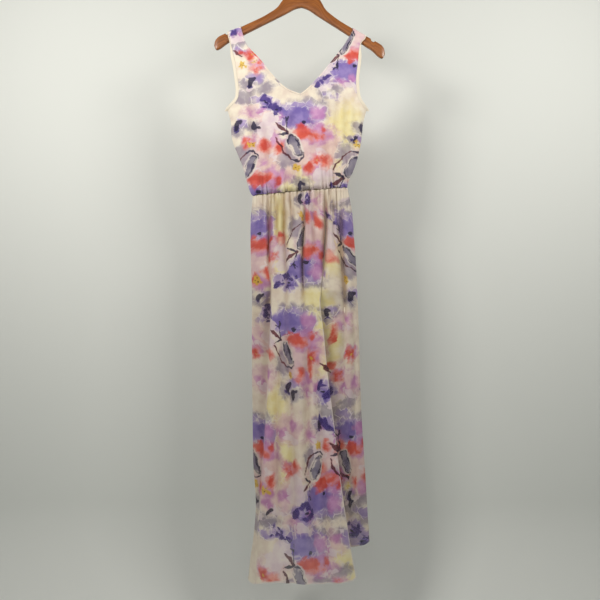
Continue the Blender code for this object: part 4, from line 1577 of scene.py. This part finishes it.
    def _ribbon(self, edge: Grid, inside: Grid, width: float) -> Shape:
        """A ribbon beside a cloth edge, tapered where it passes over the hanger."""
        spread = smooth_step(*self.taper_drops, -edge[:, 2])
        widths = width * (self.taper_share + (1 - self.taper_share) * spread)
        return ribbon_shape(edge, inside, CHIFFON_WALL / 2, widths, self.band)

    def _tack(self, front: list, lining: Material) -> Piece:
        """The tack stitches on the front panel."""
        v_drop = self.halves[0][self.v_row].inner_drop
        piece = TackRow().shape(front[0][:, -1], v_drop).to_object("tack_stitches", lining)
        return piece


@dataclass(frozen=True)
class LongLap:
    """The long lap of cloth near the left side: a step along a slanting edge.

    The cloth beside the edge lies further back, most of all close to it, and the edge itself
    stands out as a soft lip. The lap opens below its start and closes above its end.
    """

    top_x: float = -0.070
    bottom_x: float = -0.106
    start: float = 0.760
    end: float = 1.440
    step: float = 0.0095
    hidden: float = 0.026
    fade_in: float = 0.10
    fade_out: float = 0.16
    opening: float = 0.06
    edge_softness: float = 0.0016
    near_width: float = 0.020
    far_share: float = 0.35
    lip_place: float = 0.004
    lip_width: float = 0.005
    lip_share: float = 0.35

    def creases(self, x: Grid, drop: Grid) -> tuple[Grid, Grid]:
        """The step and the hidden width of cloth behind the lap's edge."""
        run = np.clip((drop - self.start) / (self.end - self.start), 0.0, 1.0)
        edge = self.top_x + (self.bottom_x - self.top_x) * run**1.6
        fade = smooth_step(self.start, self.start + self.fade_in, drop)
        fade = fade * (1.0 - smooth_step(self.end - self.fade_out, self.end, drop))
        behind = 0.5 - 0.5 * np.tanh((x - edge) / self.edge_softness)
        near = np.exp(-(((x - edge) / self.near_width) ** 2))
        lip = np.exp(-(((x - edge - self.lip_place) / self.lip_width) ** 2))
        back = behind * (self.far_share + (1.0 - self.far_share) * near)
        opened = smooth_step(self.start, self.start + self.opening, drop)
        return self.step * fade * (back - self.lip_share * lip), -self.hidden * behind * opened


@dataclass
class Skirt:
    """The long gathered skirt: three sheer panels with a slit, and a short lining under them."""

    slit_drop: float = 0.822
    long_hem: float = 1.512
    short_hem: float = 1.450
    back_hem: float = 1.470
    lining_hem: float = 0.931
    lining_inset: float = 0.007
    lining_share: float = 0.60
    lining_wall: float = 0.0008
    lining_fold: float = 0.0016
    crease_limit: float = 0.30
    hem_band: float = 0.0035
    margin: float = 0.25  # the margin paint's reach on a rolled edge, in centimetres
    slit_opening: float = 0.03
    # The lower hem: how far it waves, dips at the left corner and is rounded at its free corners
    hem_fade: float = 0.10
    hem_waves: tuple = ((0.0008, 70.0, 0.6), (0.0005, 155.0, 0.0))
    dip: float = 0.020
    dip_drops: tuple = (1.475, 1.512)
    dip_reach: tuple = (0.060, 0.127)
    corner: float = 0.006
    slit_corner_reach: tuple = (-0.014, 0.0)
    side_corner_reach: tuple = (0.150, 0.171)
    back_rise: float = 0.026
    back_rise_reach: tuple = (0.02, 0.17)
    back_fall: float = 0.020
    back_fall_reach: tuple = (-0.02, -0.12)
    # Fading of the pleats' painted shade where they open, and the painted shadow beside the slit
    opened_shade_fade: float = 0.6
    opened_drops: tuple = (0.82, 1.05)
    slit_shadow_strength: float = 0.60
    slit_shadow_width: float = 0.040
    slit_shadow_end: float = 0.95
    table: tuple = (
        SkirtRow(WAIST_DROP, -0.1194, 0.1205, 0.019, 0.019),
        SkirtRow(0.5950, -0.1215, 0.1250, 0.025, 0.024),
        SkirtRow(0.6262, -0.1243, 0.1311, 0.032, 0.031),
        SkirtRow(0.6847, -0.1255, 0.1365, 0.040, 0.038),
        SkirtRow(0.7507, -0.1243, 0.1415, 0.044, 0.042),
        SkirtRow(0.8270, -0.1217, 0.1453, 0.047, 0.044),
        SkirtRow(0.9515, -0.1220, 0.1499, 0.051, 0.046),
        SkirtRow(1.0557, -0.1210, 0.1525, 0.056, 0.048, -0.002),
        SkirtRow(1.1573, -0.1194, 0.1565, 0.062, 0.051, -0.006),
        SkirtRow(1.2513, -0.1175, 0.1618, 0.065, 0.056, -0.013),
        SkirtRow(1.3657, -0.1100, 0.1677, 0.068, 0.064, -0.024),
        SkirtRow(1.4400, -0.1160, 0.1708, 0.069, 0.070, -0.032),
        SkirtRow(1.5120, -0.1270, 0.1720, 0.067, 0.075, -0.040),
    )
    slit: tuple = (
        SlitRow(WAIST_DROP, 0.0620),
        SlitRow(0.7507, 0.0600),
        SlitRow(0.8220, 0.0520),
        SlitRow(0.8500, 0.0505, 0.000, 0.80),
        SlitRow(0.9253, 0.0587, 0.020, 0.74),
        SlitRow(1.0274, 0.0683, 0.034, 0.68),
        SlitRow(1.1590, 0.0847, 0.044, 0.58),
        SlitRow(1.2241, 0.0916, 0.048, 0.52),
        SlitRow(1.3132, 0.1028, 0.052, 0.44),
        SlitRow(1.3973, 0.1150, 0.056, 0.38),
        SlitRow(1.4617, 0.1250, 0.060, 0.34),
        SlitRow(1.5120, 0.1340, 0.064, 0.30),
    )
    front_folds: tuple = (
        Fold(-0.081, -0.074, 0.002, 0.0050, 0.0090, 0.578, 0.830),
        Fold(-0.058, -0.052, 0.002, 0.0050, 0.0050, 0.578, 0.760),
        Fold(-0.038, -0.034, 0.002, 0.0060, 0.0060, 0.578, 0.960),
        Fold(-0.020, -0.024, 0.003, 0.0055, 0.0045, 0.578, 0.740),
        Fold(0.010, 0.006, 0.002, 0.0050, 0.0090, 0.578, 0.940),
        Fold(0.034, 0.030, 0.002, 0.0060, 0.0050, 0.590, 0.800),
        Fold(0.064, 0.058, 0.002, 0.0060, 0.0110, 0.580, 0.850),
        Fold(0.082, 0.088, 0.002, 0.0060, 0.0050, 0.590, 0.760),
        Fold(0.104, 0.112, 0.003, 0.0080, 0.0087, 0.590, 1.050),
        Fold(-0.028, -0.012, 0.004, 0.0120, 0.0072, 0.860, 1.660),
        Fold(-0.050, -0.062, 0.003, 0.0100, 0.0065, 0.900, 1.560),
        Fold(0.012, 0.034, 0.004, 0.0110, 0.0080, 0.900, 1.640),
        Fold(0.038, 0.074, 0.003, 0.0100, 0.0065, 0.960, 1.640),
        Fold(0.110, 0.128, 0.003, 0.0090, 0.0065, 0.900, 1.560),
        Fold(0.132, 0.146, 0.002, 0.0070, 0.0058, 0.820, 1.500),
    )
    back_folds: tuple = (
        Fold(-0.100, -0.092, 0.003, 0.0060, 0.0080, 0.578, 0.980),
        Fold(-0.085, -0.070, 0.003, 0.0090, 0.0090, 0.585, 1.420),
        Fold(-0.056, -0.050, 0.002, 0.0060, 0.0060, 0.578, 0.820),
        Fold(-0.030, -0.040, 0.004, 0.0110, 0.0090, 0.600, 1.700),
        Fold(-0.008, -0.010, 0.002, 0.0060, 0.0060, 0.578, 0.900),
        Fold(0.022, 0.016, 0.003, 0.0100, 0.0100, 0.585, 1.460),
        Fold(0.048, 0.052, 0.003, 0.0070, 0.0060, 0.590, 0.960),
        Fold(0.070, 0.078, 0.003, 0.0110, 0.0090, 0.590, 1.700),
        Fold(0.096, 0.108, 0.003, 0.0070, 0.0060, 0.590, 1.000),
        Fold(0.110, 0.124, 0.002, 0.0100, 0.0070, 0.640, 1.620),
    )
    lap: LongLap = LongLap()
    gatherings: tuple = ((-0.119, 0.120, 38, 0.150), (-0.119, 0.120, 22, 0.330))

    def build(self, chiffon: Material, lining: Material) -> list[Piece]:
        """All pieces of the skirt."""
        pieces = []
        for plan in self._plans():
            piece = self._panel(plan, chiffon)
            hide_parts(plan.node)
            pieces.append(piece)
        for name, side in (("front", -1.0), ("back", 1.0)):
            piece = self._lining(side).to_object(f"lining_{name}", lining)
            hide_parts(f"skirt_lining_{name}")
            pieces.append(piece)
        return pieces

    def _plans(self) -> tuple:
        """What the three sheer panels are cut to."""
        long, short, back = Span.FRONT_LEFT, Span.FRONT_RIGHT, Span.BACK
        front_print, back_print = SKIRT_PLACES, FloralPrint().repeated(570, 1480)
        cuts = (
            ("long_front", "front_left", self.long_hem, long, 400, 122, front_print, (0.24, 0.94)),
            ("under_front", "front_right", self.short_hem, short, 380, 66, front_print, (0.10, 0.88)),
            ("full_back", "back", self.back_hem, back, 340, 128, back_print, (0.32, 0.90)),
        )
        return tuple(PanelPlan(f"skirt_{cut[0]}", f"skirt_{cut[1]}", *cut[2:]) for cut in cuts)

    def _panel(self, plan: PanelPlan, chiffon: Material) -> Piece:
        """One sheer panel on the skirt's domed section, with its folds, gathers and rolled hems.

        A column keeps its angle round the section all the way down. The depth is the section's,
        less the folds; the long lap is a step that sets the cloth beside it further back.

        Args:
            plan: What the panel is cut to.
            chiffon: The finish.

        Returns:
            The piece.
        """
        span = plan.span
        side = 1.0 if span is Span.BACK else -1.0
        top = WAIST_DROP + SEAM_GAP
        drop = top + (plan.hem - top) * np.linspace(0.0, 1.0, plan.rows) ** 1.08
        left, right = read(self.table, "left", drop), read(self.table, "right", drop)
        middle, half = (left + right) / 2, (right - left) / 2
        slit = read(self.slit, "edge_x", drop)
        share = np.ones_like(drop)
        start, stop = left, right
        if span is Span.FRONT_LEFT:
            stop = slit - SLIT_SEAM_HALF
        if span is Span.FRONT_RIGHT:
            start = slit + SLIT_SEAM_HALF - np.maximum(read(self.slit, "overlap", drop), 0.0)
            share = np.minimum(read(self.slit, "under_share", drop), 1.0)
        begin = np.arccos(np.clip((middle - start) / half, -1.0, 1.0))
        end = np.arccos(np.clip((middle - stop) / half, -1.0, 1.0))
        even = np.linspace(0.0, 1.0, plan.columns)[None, :]
        angle = begin[:, None] + (end - begin)[:, None] * even
        x = middle[:, None] - half[:, None] * np.cos(angle)
        drops = np.repeat(drop[:, None], plan.columns, axis=1)
        depth_name = "front" if side < 0 else "back"
        hang = read(self.table, depth_name, drops) * dome(x, left[:, None], right[:, None])
        hang *= share[:, None]
        room = np.clip(hang / CREASE_ROOM, 0.0, 1.0)
        crease, hidden = self._creases(x, drops, side)
        crease = np.minimum(crease * share[:, None] * room, hang * self.crease_limit)
        depth = np.maximum(hang - crease, SIDE_SEAM_HALF)
        y = read(self.table, "seam_y", drops) + side * depth
        low = drops + waist_tilt(x, drops) + self._hem_curve(x, drops, plan.hem, span)
        points = stacked(x + DRESS_X, y, -low).reshape(-1, 3)
        cloth = stacked((x + hidden) * MM, low * MM).reshape(-1, 2)
        quads = grid_quads(np.arange(drops.size).reshape(drops.shape))
        if side > 0:
            quads = quads[:, ::-1]
        painted_shade = self._shade_in_pleats_and_slit(crease, x, drops, slit, span)
        walls = self._walls(drops, x, slit, plan.hem, span).ravel()
        shape = cloth_shell(points, cloth, quads, walls, painted_shade.ravel())
        piece = shape.to_object(plan.name, chiffon)
        places = self._on_cloth(plan.places) if side < 0 else plan.places
        fields = FloralPrint().paint(shape.cloth, places)
        # A rolled edge lies in three layers, which show as a pale margin.
        rolled = np.tile((walls - CHIFFON_WALL) / (HEM_WALL - CHIFFON_WALL), 2)
        margin = self.margin * (2.0 * rolled - 1.0)
        fields[Paint.MARGIN] = np.maximum(fields[Paint.MARGIN], margin)
        store_print(piece, fields, shape.painted_shade)
        return piece

    def _shade_in_pleats_and_slit(self, crease: Grid, x: Grid, drop: Grid, slit: Grid, span: Span) -> Grid:
        """Painted shade in the pleats' troughs, and the painted shadow beside the slit's upper edge.
        """
        opened = 1.0 - self.opened_shade_fade * smooth_step(*self.opened_drops, drop)
        painted_shade = np.clip(crease / PLEAT_FULL, 0.0, 1.0) ** 1.4 * opened
        if span is Span.FRONT_RIGHT:
            # The long panel's edge shades the short panel beside it; that shadow is painted into the
            # colour.
            beside = np.maximum(x - slit[:, None], 0.0)
            below = smooth_step(self.slit_drop, self.slit_shadow_end, drop)
            slit_shadow = self.slit_shadow_strength * np.exp(-beside / self.slit_shadow_width) * below
            painted_shade = np.maximum(painted_shade, slit_shadow)
        return painted_shade

    def _on_cloth(self, places: tuple) -> tuple:
        """Places seen on the hanging skirt, moved along to where they lie on the cloth itself."""
        x = column(places, "u") / MM
        drop = column(places, "v") / MM
        _, hidden = self._creases(x, drop, -1.0)
        return tuple(place._replace(u=place.u + step * MM) for place, step in zip(places, hidden))

    def _creases(self, x: Grid, drop: Grid, side: float) -> tuple[Grid, Grid]:
        """Depth and hidden cloth of the folds, the gathers, the lap and a faint unevenness."""
        front = side < 0
        seed = 3 if front else 8
        parts = [fold_field(self.front_folds if front else self.back_folds, x, drop)]
        for first, last, count, longest in self.gatherings:
            parts.append(gathers(x, drop - WAIST_DROP, Gathering(first, last, count, seed, longest)))
            seed += 20
        if front:
            parts.append(self.lap.creases(x, drop))
        uneven = UNEVENNESS * ripple(x * MM, drop * MM * 0.3, 52.0, 0.3 + side)
        return sum(part[0] for part in parts) + uneven, sum(part[1] for part in parts)

    def _hem_curve(self, x: Grid, drop: Grid, hem: float, span: Span) -> Grid:
        """Lets the hem wave a little, dips its left corner and rounds its free corners."""
        close = smooth_step(hem - self.hem_fade, hem, drop)
        wave = sum(height * np.sin(x * often + phase) for height, often, phase in self.hem_waves)
        dip = self.dip * smooth_step(*self.dip_drops, drop) * smooth_step(*self.dip_reach, -x)
        if span is Span.FRONT_LEFT:
            edge = np.interp(drop, column(self.slit, "drop"), column(self.slit, "edge_x"))
            wave = wave - self.corner * smooth_step(*self.slit_corner_reach, x - edge) ** 2
        if span is Span.FRONT_RIGHT:
            wave = wave - self.corner * smooth_step(*self.side_corner_reach, x) ** 2
        if span is Span.BACK:
            wave = wave - self.back_rise * smooth_step(*self.back_rise_reach, x)
            wave = wave + self.back_fall * smooth_step(*self.back_fall_reach, x)
        return wave * close + dip

    def _walls(self, drop: Grid, x: Grid, slit: Grid, hem: float, span: Span) -> Grid:
        """Cloth thickness: thin, but thicker along the rolled hem and the slit's rolled edges."""
        rolled = smooth_step(hem - self.hem_band, hem - self.hem_band / 2, drop)
        if span is Span.FRONT_LEFT:
            beside = slit[:, None] - x
            along = 1.0 - smooth_step(self.hem_band / 2, self.hem_band, beside)
            open_below = smooth_step(self.slit_drop, self.slit_drop + self.slit_opening, drop)
            rolled = np.maximum(rolled, along * open_below)
        return CHIFFON_WALL + (HEM_WALL - CHIFFON_WALL) * rolled

    def _lining(self, side: float) -> Shape:
        """A plain half tube inside the skirt, with shallow soft folds."""
        rows, columns = 80, 60
        drop = np.linspace(WAIST_DROP + SEAM_GAP, self.lining_hem, rows)[:, None]
        left = read(self.table, "left", drop) + self.lining_inset
        right = read(self.table, "right", drop) - self.lining_inset
        depth = read(self.table, "front" if side < 0 else "back", drop) * self.lining_share
        angle = np.linspace(0.0, math.pi, columns)[None, :]
        middle, half = (left + right) / 2, (right - left) / 2
        x = middle - half * np.cos(angle)
        fold = self.lining_fold * ripple(x * MM, drop * MM * 0.12, 30.0, 1.0 + side) * np.sin(angle)
        y = side * np.maximum(depth * np.sin(angle) ** 0.8 - fold, SIDE_SEAM_HALF)
        low = drop + waist_tilt(x, drop)
        points = stacked(x + DRESS_X, y, -low).reshape(-1, 3)
        cloth = stacked(x * MM, low * MM).reshape(-1, 2)
        quads = grid_quads(np.arange(rows * columns).reshape(rows, columns))
        if side > 0:
            quads = quads[:, ::-1]
        plain = np.zeros(rows * columns)
        return cloth_shell(points, cloth, quads, plain + self.lining_wall, plain)


@dataclass
class Waist:
    """The elastic in the waist seam, a flat shirred band inside the gathers."""

    height: float = 0.0125
    depth: float = 0.0140
    inset: float = 0.004
    left: float = -0.1194
    right: float = 0.1205
    wall: float = 0.0014
    ribs: int = 60
    rib_height: float = 0.0003

    def build(self, lining: Material) -> Piece:
        """A closed band round a flat oval, ribbed by fine waves where the elastic draws it in."""
        steps = self.ribs * 6
        angle = full_turn(steps)[:, None]
        section = full_turn(16)[None, :]
        middle = (self.left + self.right) / 2 + DRESS_X
        reach = (self.right - self.left) / 2 - self.inset - self.wall
        out = self.wall / 2 * square_off(np.cos(section), 0.5)
        out = out + self.rib_height * np.cos(self.ribs * angle)
        tall = self.height / 2 * square_off(np.sin(section), 0.4)
        x = middle + (reach + out) * np.cos(angle)
        bulge = dome(x, middle - reach - out, middle + reach + out)
        y = (self.depth - self.wall + out) * np.sign(np.sin(angle)) * bulge
        drop = WAIST_DROP - self.height / 2 - tall
        low = drop + waist_tilt(x - DRESS_X, drop)
        rings = stacked(x, y, -low)
        cloth = stacked(angle * reach, tall) * MM
        piece = loop_shape(rings, cloth).to_object("waist_casing", lining)
        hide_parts("waist_elastic")
        return piece


@dataclass
class Studio:
    """A pale paper sweep behind and below the dress, soft lights, and the camera."""

    wall_y: float = 0.22
    floor_z: float = -1.74
    sweep: float = 0.30
    half_width: float = 3.2
    top_z: float = 1.6
    near_y: float = -3.4
    lens: float = 32.0
    camera_place: tuple = (-0.006, -1.355, -0.847)
    air: str = "DADCDC"
    air_strength: float = 0.10
    lamps: tuple = (
        Lamp("key_left", (-0.98, -0.92, 0.00), (0.06, 0.0, -0.58), 0.42, 16.5),
        Lamp("key_right", (1.04, -0.84, 0.02), (-0.04, 0.0, -0.56), 0.46, 13.5),
        Lamp("front", (0.1, -2.2, 0.10), (0.0, 0.0, -0.50), 1.2, 4.0, "FFFFFF"),
    )

    def build(self, paper: Material) -> None:
        """The sweep, the lights, the world and the camera."""
        self._sweep(paper)
        for lamp in self.lamps:
            self._light(lamp)
        world = bpy.data.worlds.new("studio_air")
        world.use_nodes = True
        sky = world.node_tree.nodes["Background"]
        sky.inputs["Color"].default_value = linear(self.air)
        sky.inputs["Strength"].default_value = self.air_strength
        bpy.context.scene.world = world
        camera = bpy.data.cameras.new("camera")
        camera.lens = self.lens
        camera.sensor_width = 36.0
        holder = bpy.data.objects.new("camera", camera)
        holder.location = self.camera_place
        holder.rotation_euler = (math.pi / 2, 0.0, 0.0)
        bpy.context.scene.collection.objects.link(holder)
        bpy.context.scene.camera = holder
        bpy.context.scene.view_settings.view_transform = "Standard"

    def _sweep(self, paper: Material) -> None:
        """A wall that bends into the floor on a quarter circle, faces towards the dress."""
        bend = np.linspace(0.0, math.pi / 2, 25)
        centre_y, centre_z = self.wall_y - self.sweep, self.floor_z + self.sweep
        curve_y = centre_y + self.sweep * np.cos(bend)
        curve_z = centre_z - self.sweep * np.sin(bend)
        y = np.concatenate(([self.wall_y], curve_y, [self.near_y]))
        z = np.concatenate(([self.top_z], curve_z, [self.floor_z]))
        x = np.array((-self.half_width, self.half_width))
        points = stacked(x[None, :], y[:, None], z[:, None])
        cloth = points.reshape(-1, 3)[:, :2] * MM
        quads = grid_quads(np.arange(len(y) * 2).reshape(len(y), 2))
        sheet = Shape(points.reshape(-1, 3), quads.tolist(), cloth).to_object("paper_sweep", paper)

    @staticmethod
    def _light(lamp: Lamp) -> None:
        """A square soft light that looks at a point."""
        light = bpy.data.lights.new(lamp.name, "AREA")
        light.size = lamp.size
        light.energy = lamp.power
        light.color = linear(lamp.shade)[:3]
        holder = bpy.data.objects.new(lamp.name, light)
        holder.location = lamp.place
        away = np.array(lamp.aim) - np.array(lamp.place)
        flat = math.hypot(away[0], away[1])
        holder.rotation_euler = (math.atan2(flat, -away[2]), 0.0, math.atan2(-away[0], away[1]))
        bpy.context.scene.collection.objects.link(holder)


def main() -> None:
    """Builds the studio, the hanger and every part of the dress, and reports each piece."""
    logging.basicConfig(level=logging.INFO, format="%(name)s %(message)s")
    Studio().build(StudioPaper().build())
    lined = PrintedChiffon("printed_chiffon_lined", 1.0).build()
    sheer = PrintedChiffon("printed_chiffon_sheer", 0.66).build()
    lining = CreamLining().build()
    hanger = Hanger()
    pieces = hanger.build(VarnishedWood().build(), PlatedSteel().build())
    pieces += Bodice(hanger).build(lined, lining)
    pieces.append(Waist().build(lining))
    pieces += Skirt().build(sheer, lining)
    for piece in pieces:
        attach(piece, BODY)
        report(piece)
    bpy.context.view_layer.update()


if __name__ == "__main__":
    main()
